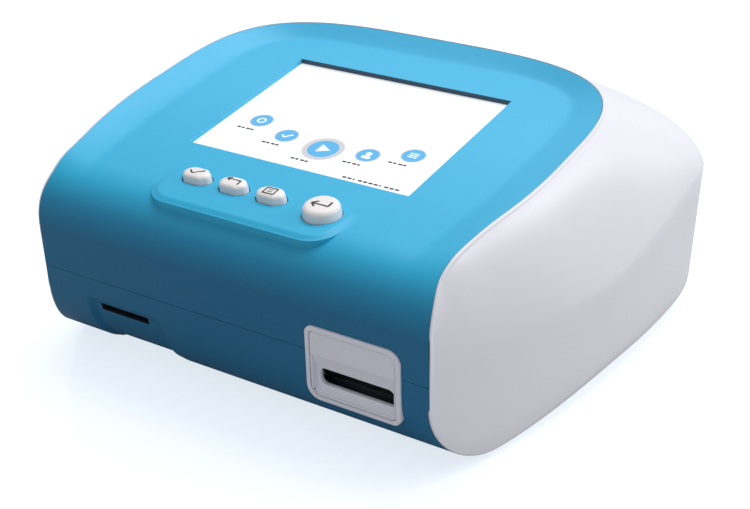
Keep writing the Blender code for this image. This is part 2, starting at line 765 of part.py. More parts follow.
def make_display(materials, panel):
    half, low_u, high_u = WINDOW
    make_object("touch_glass", panel_box(half + 3.0, low_u - 3.0, high_u + 3.0, -3.9, -2.8),
                materials["screen_glass"], panel)
    gasket = make_object("display_gasket", panel_box(half + 3.0, low_u - 3.0, high_u + 3.0, -4.8, -4.2),
                         materials["rubber"], panel)
    cut(gasket, panel_box(half, low_u + 1.4, high_u - 1.4, -7.0, -2.0))
    make_object("display_module", panel_box(70.0, 47.0, 151.5, -14.0, -5.1), materials["steel"], panel)
    bracket = make_object("display_bracket", panel_box(73.0, 46.0, 153.0, -15.8, -14.3),
                          materials["steel"], panel)
    for side in (-1.0, 1.0):
        low, high = sorted((side * 71.3, side * 73.0))
        join(bracket, box((low, 46.0, -15.0), (high, 153.0, -3.4)))
    cut(bracket, box((-50.0, 70.0, -18.0), (50.0, 130.0, -12.0)))


def key_flange(x):
    return prism(key_outline(x, 1.1), "Z", -4.4, -2.9)


def make_keys(materials, panel):
    for name, x in KEYS:
        key = make_object(name, prism(key_outline(x), "Z", -4.0, KEY_TOP), materials["key_white"], panel,
                          origin=(x, KEY_U, 0.0))
        bevel_top(key, KEY_BEVEL)
        join(key, key_flange(x))
        make_switch(f"{name}_switch", x, KEY_U, materials, panel)
    outline = circle(ENTER_X, ENTER_U, ENTER_RADIUS, 32)
    enter = make_object("enter_key", prism(outline, "Z", -4.0, ENTER_TOP), materials["key_white"],
                        panel, origin=(ENTER_X, ENTER_U, 0.0), smooth=True)
    bevel_top(enter, ENTER_BEVEL)
    join(enter, prism(circle(ENTER_X, ENTER_U, ENTER_RADIUS + 1.1, 32), "Z", -4.4, -3.4))
    make_switch("enter_key_switch", ENTER_X, ENTER_U, materials, panel)
    board = make_object("keypad_board", box((-48.0, 19.0, -12.0), (48.0, 41.5, -10.4)),
                        materials["board_green"], panel)
    cut(board, *[prism(circle(x, 22.0, 1.6, 10), "Z", -14.0, -8.0) for x in (-44.0, 44.0)])


def bevel_top(obj, width):
    """Rounds the rim of a key's top face."""
    top = max(vertex.co.z for vertex in obj.data.vertices)
    weights = obj.data.attributes.new("bevel_weight_edge", "FLOAT", "EDGE")
    for edge in obj.data.edges:
        ends = [obj.data.vertices[i].co.z for i in edge.vertices]
        weights.data[edge.index].value = 1.0 if min(ends) > top - 0.1 * MM else 0.0
    modifier = obj.modifiers.new("top_rounding", "BEVEL")
    modifier.limit_method = "WEIGHT"
    modifier.width = width * MM
    modifier.segments = 3


def make_switch(name, x, u, materials, panel):
    switch = make_object(name, box((x - 3.0, u - 3.0, -10.1), (x + 3.0, u + 3.0, -7.2)),
                         materials["dark_plastic"], panel)
    join(switch, prism(circle(x, u, 1.6, 16), "Z", -8.0, -6.0))


# ------------------------------------------------------------------ electronics

def make_electronics(materials, case):
    board = make_object("main_board", box((-95.0, 45.0, 11.0), (33.0, 150.0, 12.6)),
                        materials["board_green"], case)
    join(board, box((-40.0, 90.0, 12.0), (-22.0, 108.0, 14.6)), box((-80.0, 60.0, 12.0), (-68.0, 90.0, 15.0)))
    supply = make_object("power_supply", box((-98.0, 158.0, 8.0), (-44.0, 205.0, 9.6)),
                         materials["board_green"], case)
    join(supply, box((-90.0, 166.0, 9.0), (-66.0, 186.0, 30.0)),
         prism(circle(-55.0, 172.0, 7.0, 16), "Z", 9.0, 32.0),
         box((-80.0, 190.0, 9.0), (-50.0, 202.0, 20.0)))
    make_object("speaker", prism(circle(-104.0, 118.0, 6.0, 20), "Z", 8.0, 13.0),
                materials["dark_plastic"], case, smooth=True)


# ------------------------------------------------------------------ scanning drive

def make_scanner(materials, case):
    low, high = CHASSIS_X
    chassis = make_object("scan_chassis", box((low, 27.0, 7.0), (high, 145.0, 9.0)),
                          materials["steel"], case)
    left, right, bottom, top = SLOT
    web = [(9.5, 18.5), (9.5, 42.0), (14.0, 42.0), (40.0, 16.0), (40.0, 7.5), (27.5, 7.5), (18.0, 12.5)]
    join(chassis, box((low, 9.5, 18.5), (high, 11.5, 46.0)), box((low, 119.0, 7.5), (high, 121.0, 68.0)),
         prism(web, "X", low, low + 1.6), prism(web, "X", high - 1.6, high),
         box((low, 84.0, 7.5), (low + 1.6, 120.0, 68.0)), box((high - 1.6, 84.0, 7.5), (high, 120.0, 68.0)))
    cut(chassis, box((left, 8.0, bottom - 1.0), (right, 14.0, 39.5)))
    for x in ROD_X:
        cut(chassis, prism(circle(x, ROD_Z, ROD_RADIUS + RUNNING, 24), "Y", 8.0, 125.0))
    cut(chassis, prism(circle(SCREW_X, SCREW_Z, SCREW_RADIUS + RUNNING, 24), "Y", 8.0, 125.0))
    for x, side in zip(ROD_X, ("left", "right")):
        make_object(f"guide_rod_{side}", prism(circle(x, ROD_Z, ROD_RADIUS, 24), "Y", 9.8, 121.5),
                    materials["steel"], case, smooth=True)
    make_object("lead_screw", prism(circle(SCREW_X, SCREW_Z, SCREW_RADIUS, 24), "Y", 9.8, 121.0),
                materials["steel"], case, origin=(SCREW_X, 60.0, SCREW_Z), smooth=True)
    motor = make_object("scan_motor", prism(circle(SCREW_X, SCREW_Z, 10.6, 28), "Y", 121.3, 138.0),
                        materials["steel"], case, smooth=True)
    join(motor, box((SCREW_X - 17.0, 121.3, SCREW_Z - 4.0), (SCREW_X + 17.0, 122.7, SCREW_Z + 4.0)))
    make_carrier(materials, case)
    make_optics(materials, case)


def make_carrier(materials, case):
    carrier = make_object("cartridge_carrier", box((50.3, 12.4, 28.6), (80.2, 76.0, 38.2)),
                          materials["dark_plastic"], case)
    for low, high in ((41.5, 51.0), (79.5, 89.0)):
        join(carrier, box((low, 46.0, 26.4), (high, 72.0, 35.4)))
    cut(carrier, box((52.0, 8.0, 31.4), (78.5, 70.0, 42.0)))
    for x in ROD_X:
        cut(carrier, prism(circle(x, ROD_Z, ROD_RADIUS + RUNNING, 24), "Y", 8.0, 125.0))
    nut = make_object("screw_nut", box((59.0, 58.0, 14.5), (71.5, 68.0, 28.3)), materials["gold"], case)
    cut(nut, prism(circle(SCREW_X, SCREW_Z, SCREW_RADIUS + RUNNING, 24), "Y", 50.0, 80.0))


def make_optics(materials, case):
    head = make_object("optical_head", box((47.0, 84.0, 44.0), (83.5, 118.0, 64.0)),
                       materials["dark_plastic"], case)
    cut(head, prism(circle(65.0, 100.0, 6.3, 24), "Z", 40.0, 58.0))
    barrel = make_object("lens_barrel", prism(circle(65.0, 100.0, 6.0, 24), "Z", 39.0, 56.0),
                         materials["steel"], case, smooth=True)
    cut(barrel, prism(circle(65.0, 100.0, 4.5, 20), "Z", 36.0, 50.0))
    make_object("detector_board", box((49.0, 86.0, 64.3), (81.5, 116.0, 65.9)), materials["board_green"],
                case)
    sensor = make_object("home_sensor", box((41.5, 46.0, 9.3), (48.5, 58.0, 13.0)),
                         materials["dark_plastic"], case)
    join(sensor, box((41.5, 46.0, 12.0), (44.0, 58.0, 20.0)), box((46.0, 46.0, 12.0), (48.5, 58.0, 20.0)))


# ------------------------------------------------------------------ printer

def make_printer(materials, case):
    half = BAY[0] + 3.0
    side = [(181.0, 54.0), (223.5, 54.0), (223.5, 79.5), (220.0, 84.2), (216.0, 87.6), (208.0, 93.1),
            (200.0, 97.6), (181.0, 106.5)]
    frame = make_object("printer_frame", prism(side, "X", -half, half), materials["dark_plastic"], case)
    cut(frame, box((-30.6, 183.4, 56.4), (30.6, 221.8, 120.0)))
    y, z = LID_AXIS
    for low, high in ((-32.6, -30.5), (30.5, 32.6)):
        join(frame, prism(rounded(y - KNUCKLE, y + KNUCKLE, z - 7.0, z + KNUCKLE, 1.8), "X", low, high))
    cut(frame, prism(circle(y, z, 1.06, 16), "X", -33.2, 33.2))
    cut(frame, prism(circle(*PLATEN_AXIS, 1.6, 20), "X", -40.0, 40.0))
    make_object("lid_hinge_pin", prism(circle(y, z, 1.0, 16), "X", -32.4, 32.4), materials["steel"],
                case, smooth=True)
    head = make_object("print_head", box((-29.5, 184.0, 86.0), (29.5, 186.5, 101.0)), materials["steel"],
                       case)
    cut(head, box((-25.0, 183.0, 88.0), (25.0, 184.8, 94.0)))
    make_object("tear_bar", box((-29.5, 183.8, 101.4), (29.5, 184.9, 106.4)), materials["steel"], case)
    make_platen(materials, case)
    make_roll(materials, case)
    make_lid(materials, case)


def make_platen(materials, case):
    y, z = PLATEN_AXIS
    roller = make_object("platen_roller", prism(circle(y, z, PLATEN_RADIUS, 24), "X", -29.0, 29.0),
                         materials["rubber"], case, origin=(0.0, y, z), smooth=True)
    join(roller, prism(circle(y, z, 1.5, 20), "X", -35.5, 36.6))
    gear = make_object("platen_gear", prism(gear_outline(y, z, 20, 5.0, 0.0), "X", 36.9, 39.4),
                       materials["key_white"], case, origin=(0.0, y, z))
    join(gear, prism(circle(y, z, 2.4, 20), "X", 39.0, 40.2))
    drop = z - PINION_DROP
    phase = math.pi / 2 + math.pi / 12
    pinion = make_object("motor_pinion", prism(gear_outline(y, drop, 12, 3.0, phase), "X", 36.9, 39.4),
                         materials["gold"], case, origin=(0.0, y, drop))
    join(pinion, prism(circle(y, drop, 1.0, 16), "X", 39.0, 40.9))
    motor = make_object("printer_motor", prism(circle(y, drop, 7.2, 24), "X", 41.2, 56.0),
                        materials["steel"], case, smooth=True)
    join(motor, box((41.2, y - 10.0, drop - 2.5), (42.2, y + 10.0, drop + 2.5)))


def make_roll(materials, case):
    y, z = ROLL_AXIS
    roll = make_object("paper_roll", prism(circle(y, z, ROLL_RADIUS, 40), "X", -28.5, 28.5),
                       materials["paper"], case, origin=(0.0, y, z), smooth=True)
    cut(roll, prism(circle(y, z, 6.0, 24), "X", -40.0, 40.0))


def make_lid(materials, case):
    """The lid is the same skin as the housing, taken out of the bay's opening."""
    half, low_y, _ = BAY
    lid = make_object("printer_lid", white_shell(), materials["white_case"], case,
                      origin=(0.0, *LID_AXIS), smooth=True)
    combine(lid, box((-half + 0.5, low_y + 3.4, 70.0), (half - 0.5, LID_REAR, 125.0)), "INTERSECT")
    y, z = LID_AXIS
    arm = [(y - 7.0, z + 5.6), (y - 7.0, z + 3.7), (y - 1.3, z - 1.5), (y, z - KNUCKLE),
           (y + 1.3, z - 1.4), (y + KNUCKLE, z), (y + 1.3, z + 1.4), (y, z + KNUCKLE), (y - 2.8, z + 2.6)]
    for low, high in ((-30.0, -20.0), (20.0, 30.0)):
        join(lid, prism(arm, "X", low, high))
    cut(lid, prism(circle(y, z, 1.08, 16), "X", -34.0, 34.0))


# ------------------------------------------------------------------ rear sockets

def make_rear_sockets(materials, case):
    half, low_z, high_z = SOCKET_PANEL
    back = SOCKET_Y
    plate = make_object("socket_plate", box((-half - 2.0, back - 1.8, low_z - 2.0),
                                            (half + 2.0, back, high_z + 2.0)),
                        materials["light_grey"], case)
    cut(plate, box((32.7, back - 5.0, 20.7), (55.3, back + 5.0, 45.3)),
        box((ROCKER_X - 7.3, back - 5.0, ROCKER_Z - 10.8), (ROCKER_X + 7.3, back + 5.0, ROCKER_Z + 10.8)),
        box((-15.3, back - 5.0, 26.7), (-0.7, back + 5.0, 33.3)),
        box((-50.3, back - 5.0, 26.2), (-21.7, back + 5.0, 38.8)))
    inlet = make_object("power_inlet", box((33.0, 208.0, 21.0), (55.0, back + 0.6, 45.0)),
                        materials["dark_plastic"], case)
    cut(inlet, box((35.5, 213.0, 24.0), (52.5, back + 3.0, 42.0)))
    join(inlet, *[box((x - 0.5, 212.0, z - 1.8), (x + 0.5, back - 3.0, z + 1.8))
                  for x, z in ((38.6, 36.0), (49.4, 36.0), (44.0, 29.0))])
    frame = make_object("switch_frame", box((ROCKER_X - 7.0, 206.0, ROCKER_Z - 10.5),
                                            (ROCKER_X + 7.0, back + 0.6, ROCKER_Z + 10.5)),
                        materials["dark_plastic"], case)
    cut(frame, box((ROCKER_X - 5.4, 211.0, ROCKER_Z - 9.0), (ROCKER_X + 5.4, back + 3.0, ROCKER_Z + 9.0)))
    tilt = math.radians(8.0)
    rocker = prism([(back - 2.4, ROCKER_Z - 8.2), (back + 1.0, ROCKER_Z - 7.6), (back - 0.4, ROCKER_Z),
                    (back + 1.0, ROCKER_Z + 7.6), (back - 2.4, ROCKER_Z + 8.2), (back - 8.0, ROCKER_Z)],
                   "X", ROCKER_X - 4.9, ROCKER_X + 4.9)
    turn = Matrix.Translation((0.0, back - 4.0, ROCKER_Z)) @ Matrix.Rotation(tilt, 4, "X")
    bmesh.ops.transform(rocker, matrix=turn @ Matrix.Translation((0.0, 4.0 - back, -ROCKER_Z)),
                        verts=rocker.verts)
    make_object("power_rocker", rocker, materials["rubber"], case,
                origin=(ROCKER_X, back - 4.0, ROCKER_Z))
    usb = make_object("usb_socket", box((-15.0, 210.0, 27.0), (-1.0, back + 0.6, 33.0)),
                      materials["steel"], case)
    cut(usb, box((-14.2, 213.0, 27.8), (-1.8, back + 3.0, 32.2)))
    join(usb, box((-13.0, 212.0, 30.4), (-3.0, back - 1.0, 31.6)))
    serial = make_object("serial_socket", box((-50.0, 212.0, 26.5), (-22.0, back + 0.6, 38.5)),
                         materials["steel"], case)
    shell = [(-46.0, 37.2), (-26.0, 37.2), (-27.6, 28.4), (-44.4, 28.4)]
    join(serial, prism([(x, z) for x, z in shell], "Y", back, back + 3.6))
    mouth = [(-44.6, 36.2), (-27.4, 36.2), (-28.8, 29.4), (-43.2, 29.4)]
    cut(serial, prism(mouth, "Y", back - 4.0, back + 8.0))


def main():
    clear_scene()
    materials = make_materials()
    case, panel = make_frames()
    make_upper_cover(materials, case)
    make_lower_front(materials, case)
    make_rear_housing(materials, case)
    make_base_plate(materials, case)
    make_feet_and_screws(materials, case)
    make_slot_parts(materials, case)
    make_card_reader(materials, case)
    make_display(materials, panel)
    make_keys(materials, panel)
    make_electronics(materials, case)
    make_scanner(materials, case)
    make_printer(materials, case)
    make_rear_sockets(materials, case)


main()
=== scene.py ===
"""The looks of the test cartridge analyser: fine skins for its case, keys, slot and screen.

Lengths are millimetres in the case frame: X to the right, Y from the front face to the rear, Z up
from the table. to_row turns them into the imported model's metres.
"""
import json
import math

import bmesh
import bpy
import numpy as np
from mathutils import Matrix, Vector


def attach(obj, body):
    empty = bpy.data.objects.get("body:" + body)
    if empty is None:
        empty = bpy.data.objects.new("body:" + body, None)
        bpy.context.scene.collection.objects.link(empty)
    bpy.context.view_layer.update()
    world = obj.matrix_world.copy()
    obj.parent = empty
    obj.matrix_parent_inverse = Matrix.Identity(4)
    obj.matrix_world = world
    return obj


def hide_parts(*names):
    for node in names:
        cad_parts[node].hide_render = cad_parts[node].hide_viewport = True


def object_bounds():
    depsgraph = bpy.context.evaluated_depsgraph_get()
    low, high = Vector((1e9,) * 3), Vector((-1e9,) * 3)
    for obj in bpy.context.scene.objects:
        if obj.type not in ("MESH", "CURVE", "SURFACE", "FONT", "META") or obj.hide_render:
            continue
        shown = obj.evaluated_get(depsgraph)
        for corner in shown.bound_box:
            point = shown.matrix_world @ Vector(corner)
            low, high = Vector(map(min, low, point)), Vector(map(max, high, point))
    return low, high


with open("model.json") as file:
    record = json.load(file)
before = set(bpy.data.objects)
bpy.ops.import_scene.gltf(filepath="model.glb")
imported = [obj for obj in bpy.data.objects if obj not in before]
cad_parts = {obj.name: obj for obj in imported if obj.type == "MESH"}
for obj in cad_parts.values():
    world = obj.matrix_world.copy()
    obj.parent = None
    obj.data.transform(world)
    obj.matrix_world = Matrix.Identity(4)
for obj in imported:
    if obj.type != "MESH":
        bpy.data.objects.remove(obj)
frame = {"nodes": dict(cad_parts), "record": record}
cad_low, cad_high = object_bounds()

MM = 0.001
FRONT_PROUD = 1.0  # how far the slot surround stands out of the front face
CASE_FRONT = cad_low.y + FRONT_PROUD * MM  # the front face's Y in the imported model

# ---- case outline, seen from above
WALL = 2.5
SIDE_ARC_RADIUS = 405.0
WIDEST_Y = 166.0
HALF_WIDTH = cad_high.x / MM
REAR_Y = (cad_high.y - CASE_FRONT) / MM
REAR_POWER = 3.0

# ---- case outline, seen from the side
CASE_BOTTOM = 2.4
UNDERCUT_RADIUS = 34.0
UNDERCUT_TOP = CASE_BOTTOM + UNDERCUT_RADIUS
BROW_RADIUS = 26.0
PANEL_TILT = math.radians(6.87)
PANEL_FRONT_HEIGHT = 87.3
PARTING_HEIGHT = 45.8
PARTING_GAP = 0.09  # each side of the parting line
UNDERSIDE_END = 30.0
BROW_TURN = math.pi / 2 - PANEL_TILT
BROW_Y = BROW_RADIUS * (1 - math.cos(BROW_TURN))
BROW_BASE = PANEL_FRONT_HEIGHT + BROW_Y * math.tan(PANEL_TILT) - BROW_RADIUS * math.sin(BROW_TURN)

# ---- seam between the blue covers and the white housing
SEAM_FRONT_HALF = 99.4
SEAM_HALF = 106.1
SEAM_WAIST = 2.0  # how far the seam draws in around the brow
SEAM_TURN_Y = 97.2
SEAM_REAR_Y = 176.8
SEAM_POWER = 3.5
BLUE_EDGE, WHITE_EDGE = 0.06, 0.03  # how far each side of the seam stops short of it
LIP_HEIGHT, LIP_WIDTH = 0.5, 1.0
LIP_GONE_BELOW = 42.0
LIP_UPRIGHT_BELOW = 60.0  # under this height the bead stands out sideways only
RIM_HEIGHT = 4.9
LEAST_RIM_SHARE = 0.4  # of that height, left at the foot of the brow
DISH_HALF = 88.5
DISH_FRONT_HALF = 82.0
DISH_REAR_Y = 166.7
DISH_POWER = 5.0

# ---- cheeks and rear deck of the white housing
CREASE_FRONT, CREASE_REAR = 52.0, 71.0
SHOULDER_ANGLE = math.radians(27.0)
CREASE_ANGLE = math.radians(20.0)
WALL_TUCK = 0.04
BOTTOM_FILLET, LEAST_FILLET = 12.0, 0.6

# ---- front openings
SURROUND = (42.5, 86.9, 23.9, 57.6)
SLOT = (48.2, 83.0, 30.8, 38.2)
SLOT_CREASE, SLOT_SHELF, SLOT_SETBACK = 44.5, 27.4, 1.5
SLOT_FACE_Y, SLOT_DEPTH = -0.62, 3.2  # front and rear of the face plate
SURROUND_GAP = 0.2
CARD_SLOT = (-70.1, -42.9, 30.0, 33.6)
CARD_RECESS = (-77.0, -33.0, 36.5)
CARD_RECESS_DEPTH = 1.8

# ---- panel openings, in the panel frame: x, u up the slope, w out of the panel
WINDOW = (57.6, 54.9, 144.1)
GLASS_TOP = -2.2
KEY_U = 29.6
KEYS = (("qc_key", -31.6), ("return_key", -12.2), ("print_key", 7.2))
KEY_SIZE = (14.2, 8.8)
KEY_TOP = 4.2
ENTER_X, ENTER_U = 33.4, 28.2
ENTER_RADIUS = 8.1
ENTER_TOP = 5.5
KEY_GAP, KEY_FLANGE = 0.35, 1.1  # round each key: its gap in the cover, its flange below it
ISLAND = (47.0, 9.0, 44.0)
ISLAND_HEIGHT, ISLAND_SLOPE = 1.1, 3.4
ISLAND_FOOT = 18.5  # in front of this the bed reaches down to the falling brow

# ---- printer bay and rear sockets
BAY = (33.0, 184.0, 222.0)
LID_REAR = 217.2
LID_AXIS = (219.6, 86.6)
KNUCKLE = 1.9
PIN_BORE = 1.08
DECK_HEIGHTS = (70.0, 125.0)  # reach past the rear deck, below and above
SOCKET_PANEL = (58.0, 17.0, 52.0)

# ---- resolution
SHOULDER_STEPS, WALL_STEPS, FILLET_STEPS = 30, 6, 6
BROW_STEPS = 24


# ------------------------------------------------------------------ frames and objects

def to_row(bm):
    """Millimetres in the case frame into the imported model's metres."""
    bmesh.ops.scale(bm, verts=bm.verts, vec=(MM, MM, MM))
    bmesh.ops.translate(bm, verts=bm.verts, vec=(0.0, CASE_FRONT, 0.0))


def into_panel(bm):
    turn = Matrix.Translation((0.0, 0.0, PANEL_FRONT_HEIGHT)) @ Matrix.Rotation(PANEL_TILT, 4, "X")
    bmesh.ops.transform(bm, matrix=turn, verts=bm.verts)
    return bm


def mesh_object(name, bm, material, sharp=35.0):
    bmesh.ops.recalc_face_normals(bm, faces=bm.faces)
    to_row(bm)
    mesh = bpy.data.meshes.new(name)
    bm.to_mesh(mesh)
    bm.free()
    mesh.shade_smooth()
    mesh.set_sharp_from_angle(angle=math.radians(sharp))
    obj = bpy.data.objects.new(name, mesh)
    bpy.context.scene.collection.objects.link(obj)
    if material:
        mesh.materials.append(material)
    return obj


def piece(name, bm, material, body="case", stands_for=(), sharp=35.0):
    obj = mesh_object(name, bm, material, sharp)
    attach(obj, body)
    if stands_for:
        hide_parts(*stands_for)
    return obj


def combine(target, bm, operation):
    """Applies one Boolean to a piece's mesh."""
    helper = mesh_object(f"{target.name}_helper", bm, None)
    modifier = target.modifiers.new("boolean", "BOOLEAN")
    modifier.object = helper
    modifier.operation = operation
    bpy.context.view_layer.update()
    graph = bpy.context.evaluated_depsgraph_get()
    made = bpy.data.meshes.new_from_object(target.evaluated_get(graph))
    target.modifiers.clear()
    target.data = made
    made.shade_smooth()
    made.set_sharp_from_angle(angle=math.radians(35.0))
    bpy.data.objects.remove(helper)


# ------------------------------------------------------------------ basic shapes

def merged(*shapes):
    """Several separate bodies in one mesh."""
    whole = bmesh.new()
    for bm in shapes:
        mesh = bpy.data.meshes.new("part")
        bmesh.ops.recalc_face_normals(bm, faces=bm.faces)
        bm.to_mesh(mesh)
        bm.free()
        whole.from_mesh(mesh)
        bpy.data.meshes.remove(mesh)
    return whole


def on_axis(axis, a, b, c):
    point = [a, b]
    point.insert("XYZ".index(axis), c)
    return point


def loft(loops, axis):
    """Joins (outline, place) pairs along an axis into one closed body."""
    bm = bmesh.new()
    rings = [[bm.verts.new(on_axis(axis, a, b, place)) for a, b in outline] for outline, place in loops]
    for near, far in zip(rings, rings[1:]):
        count = len(near)
        for i in range(count):
            j = (i + 1) % count
            bm.faces.new((near[i], near[j], far[j], far[i]))
    bm.faces.new(rings[0])
    bm.faces.new(rings[-1])
    return bm


def prism(outline, axis, low, high):
    return loft(((outline, low), (outline, high)), axis)


def circle(a, b, radius, sides=48):
    turn = 2 * math.pi / sides
    return [(a + radius * math.cos(i * turn), b + radius * math.sin(i * turn)) for i in range(sides)]


def rounded(low_a, high_a, low_b, high_b, radii, steps=8):
    """A rectangle with round corners; radii run from the high a, high b corner anticlockwise."""
    if not isinstance(radii, (list, tuple)):
        radii = (radii,) * 4
    ends = ((high_a, high_b), (low_a, high_b), (low_a, low_b), (high_a, low_b))
    signs = ((-1, -1), (1, -1), (1, 1), (-1, 1))
    outline = []
    for (a, b), (sa, sb), radius, start in zip(ends, signs, radii, (0, 90, 180, 270)):
        for i in range(steps + 1):
            turn = math.radians(start + 90.0 * i / steps)
            outline.append((a + sa * radius + radius * math.cos(turn),
                            b + sb * radius + radius * math.sin(turn)))
    return outline


def sheet(outer, inner):
    """A closed wall between two grids of points, rows by columns."""
    bm = bmesh.new()
    rows, columns = len(outer), len(outer[0])
    top, bottom = [[[bm.verts.new(point) for point in row] for row in grid] for grid in (outer, inner)]
    for skin in (top, bottom):
        for i in range(rows - 1):
            for j in range(columns - 1):
                bm.faces.new((skin[i][j], skin[i][j + 1], skin[i + 1][j + 1], skin[i + 1][j]))
    for i in range(rows - 1):
        for j in (0, columns - 1):
            bm.faces.new((top[i][j], top[i + 1][j], bottom[i + 1][j], bottom[i][j]))
    for j in range(columns - 1):
        for i in (0, rows - 1):
            bm.faces.new((top[i][j], top[i][j + 1], bottom[i][j + 1], bottom[i][j]))
    return bm


# ------------------------------------------------------------------ outline functions

def ease(t):
    t = min(max(t, 0.0), 1.0)
    return t * t * (3 - 2 * t)


def wall_half(y):
    side = min((WIDEST_Y - y) / SIDE_ARC_RADIUS, 1.0)
    return HALF_WIDTH - SIDE_ARC_RADIUS * (1 - math.sqrt(1 - side * side))


def base_outline(steps=120):
    """The right half of the case outline from SEAM_TURN_Y round to the middle of the rear."""
    points = []
    for i in range(steps):
        y = SEAM_TURN_Y + (WIDEST_Y - SEAM_TURN_Y) * i / steps
        points.append((wall_half(y), y))
    for i in range(steps + 1):
        turn = math.pi / 2 * i / steps
        x = HALF_WIDTH * math.cos(turn) ** (2 / REAR_POWER) if i < steps else 0.0
        points.append((x, WIDEST_Y + (REAR_Y - WIDEST_Y) * math.sin(turn) ** (2 / REAR_POWER)))
    return points


BASE = base_outline()
BASE_LENGTHS = np.cumsum([0.0] + [math.dist(a, b) for a, b in zip(BASE, BASE[1:])])


def along_base(length):
    """The outline point at a length from SEAM_TURN_Y, and the outward direction there."""
    def at(place):
        return [float(np.interp(place, BASE_LENGTHS, [p[axis] for p in BASE])) for axis in (0, 1)]

    step = 1.5
    ahead, behind = at(min(length + step, BASE_LENGTHS[-1])), at(max(length - step, 0.0))
    return Vector(at(length)), Vector((ahead[1] - behind[1], behind[0] - ahead[0])).normalized()


def seam_half(y):
    waist = SEAM_WAIST * ease(y / 12.0) * (1 - ease((y - 20.0) / 50.0))
    return SEAM_FRONT_HALF + (SEAM_HALF - SEAM_FRONT_HALF) * ease(y / 90.0) - waist


def rim_height(y):
    """Height of the seam over the panel, which sinks towards the foot of the brow."""
    return RIM_HEIGHT * (LEAST_RIM_SHARE + (1 - LEAST_RIM_SHARE) * ease(y / 50.0))


def gauge(x, y, half, rear_y, power):
    if y <= SEAM_TURN_Y:
        return abs(x) / half
    ahead = (y - SEAM_TURN_Y) / (rear_y - SEAM_TURN_Y)
    return ((abs(x) / half) ** power + ahead ** power) ** (1 / power)


def rim(x, y):
    """How far the dished panel has risen towards the seam."""
    dish_half = DISH_FRONT_HALF + (DISH_HALF - DISH_FRONT_HALF) * ease(y / 80.0)
    inside = gauge(x, y, dish_half, DISH_REAR_Y, DISH_POWER) - 1
    half = seam_half(y) if y <= SEAM_TURN_Y else SEAM_HALF
    outside = 1 - gauge(x, y, half, SEAM_REAR_Y, SEAM_POWER)
    if inside <= 0:
        return 0.0
    share = inside / (inside + max(outside, 0.0))
    return rim_height(y) * share ** 1.3


def panel_height(y):
    return PANEL_FRONT_HEIGHT + y * math.tan(PANEL_TILT)


def undercut_height(y, inset=0.0):
    reach = UNDERCUT_RADIUS - inset
    ahead = min(max(UNDERCUT_RADIUS - y, 0.0), reach)
    return UNDERCUT_TOP - math.sqrt(reach * reach - ahead * ahead)


def fillet_radius(y):
    return LEAST_FILLET + (BOTTOM_FILLET - LEAST_FILLET) * ease((y - 10.0) / 110.0)


def crease_height(y):
    return CREASE_FRONT + (CREASE_REAR - CREASE_FRONT) * ease((y - 90.0) / 95.0)


# ------------------------------------------------------------------ stations along the seam

def unit(*values):
    return Vector(values).normalized()


def bisector(blue, white):
    middle = (blue + white).normalized()
    return middle / max(middle.dot(blue), 0.5)


def row_normal(y, is_top):
    if is_top:
        turn = math.acos(1 - min(y, BROW_Y) / BROW_RADIUS)
        return unit(0.0, -math.cos(turn), math.sin(turn))
    turn = math.acos((UNDERCUT_RADIUS - min(y, UNDERCUT_RADIUS)) / UNDERCUT_RADIUS)
    return unit(0.0, -math.cos(turn), -math.sin(turn))


def side_station(y, height, is_top):
    blue = row_normal(y, is_top)
    if is_top:
        white = unit(0.91, -0.41, 0.1).lerp(unit(0.47, 0.0, 0.88), ease(y / 60.0)).normalized()
        half = seam_half(y)
    else:
        white = unit(0.91, -0.41, -0.05).lerp(unit(0.25, -0.05, -0.95), ease(y / 34.0)).normalized()
        half = wall_half(y) - fillet_radius(y)
    return Vector((half, y, height)), bisector(blue, white), Vector((1.0, 0.0, 0.0))


def rear_station(turn):
    x = SEAM_HALF * math.cos(turn) ** (2 / SEAM_POWER)
    reach = SEAM_REAR_Y - SEAM_TURN_Y
    ahead = reach * math.sin(turn) ** (2 / SEAM_POWER)
    out = unit((x / SEAM_HALF) ** 2.5 / SEAM_HALF, (ahead / reach) ** 2.5 / reach, 0.0)
    blue = unit(0.0, -math.sin(PANEL_TILT), math.cos(PANEL_TILT))
    white = (out * math.sin(SHOULDER_ANGLE) + Vector((0, 0, math.cos(SHOULDER_ANGLE)))).normalized()
    y = SEAM_TURN_Y + ahead
    return Vector((x, y, panel_height(y) + RIM_HEIGHT)), bisector(blue, white), out


def spread(low, high, count):
    return [low + (high - low) * i / count for i in range(count + 1)]


def top_stations():
    turns = spread(0.0, BROW_TURN, BROW_STEPS)
    brow = [(BROW_RADIUS * (1 - math.cos(t)), BROW_BASE + BROW_RADIUS * math.sin(t)) for t in turns]
    stations = [side_station(y, height + rim_height(y), True) for y, height in brow]
    for y in spread(BROW_Y, UNDERSIDE_END, 6)[1:] + spread(UNDERSIDE_END, SEAM_TURN_Y, 36)[1:]:
        stations.append(side_station(y, panel_height(y) + rim_height(y), True))
    return stations + [rear_station(math.radians(a)) for a in spread(0.0, 89.6, 84)[1:]]


TOP = top_stations()
UNDERSIDE_YS = [point.y for point, _, _ in TOP if 0.0 < point.y <= UNDERSIDE_END + 0.001]
UNDERSIDE = [side_station(y, undercut_height(y), False) for y in UNDERSIDE_YS]
CORNER = bisector(unit(0.0, -1.0, 0.0), unit(0.91, -0.41, 0.0))


def front_stations(heights):
    return [(Vector((SEAM_FRONT_HALF, 0.0, z)), CORNER, Vector((1.0, 0.0, 0.0))) for z in heights]


# ------------------------------------------------------------------ blue covers

REAR_BAND_Y = 172.0
EDGE_SHARES = [0.70 + 0.24 * i / 14 for i in range(14)]
EDGE_SHARES += [0.94 + 0.06 * (i / 8) for i in range(8)] + [0.997, 1.0]
ACROSS = spread(0.0, 0.6, 6) + [0.65] + EDGE_SHARES


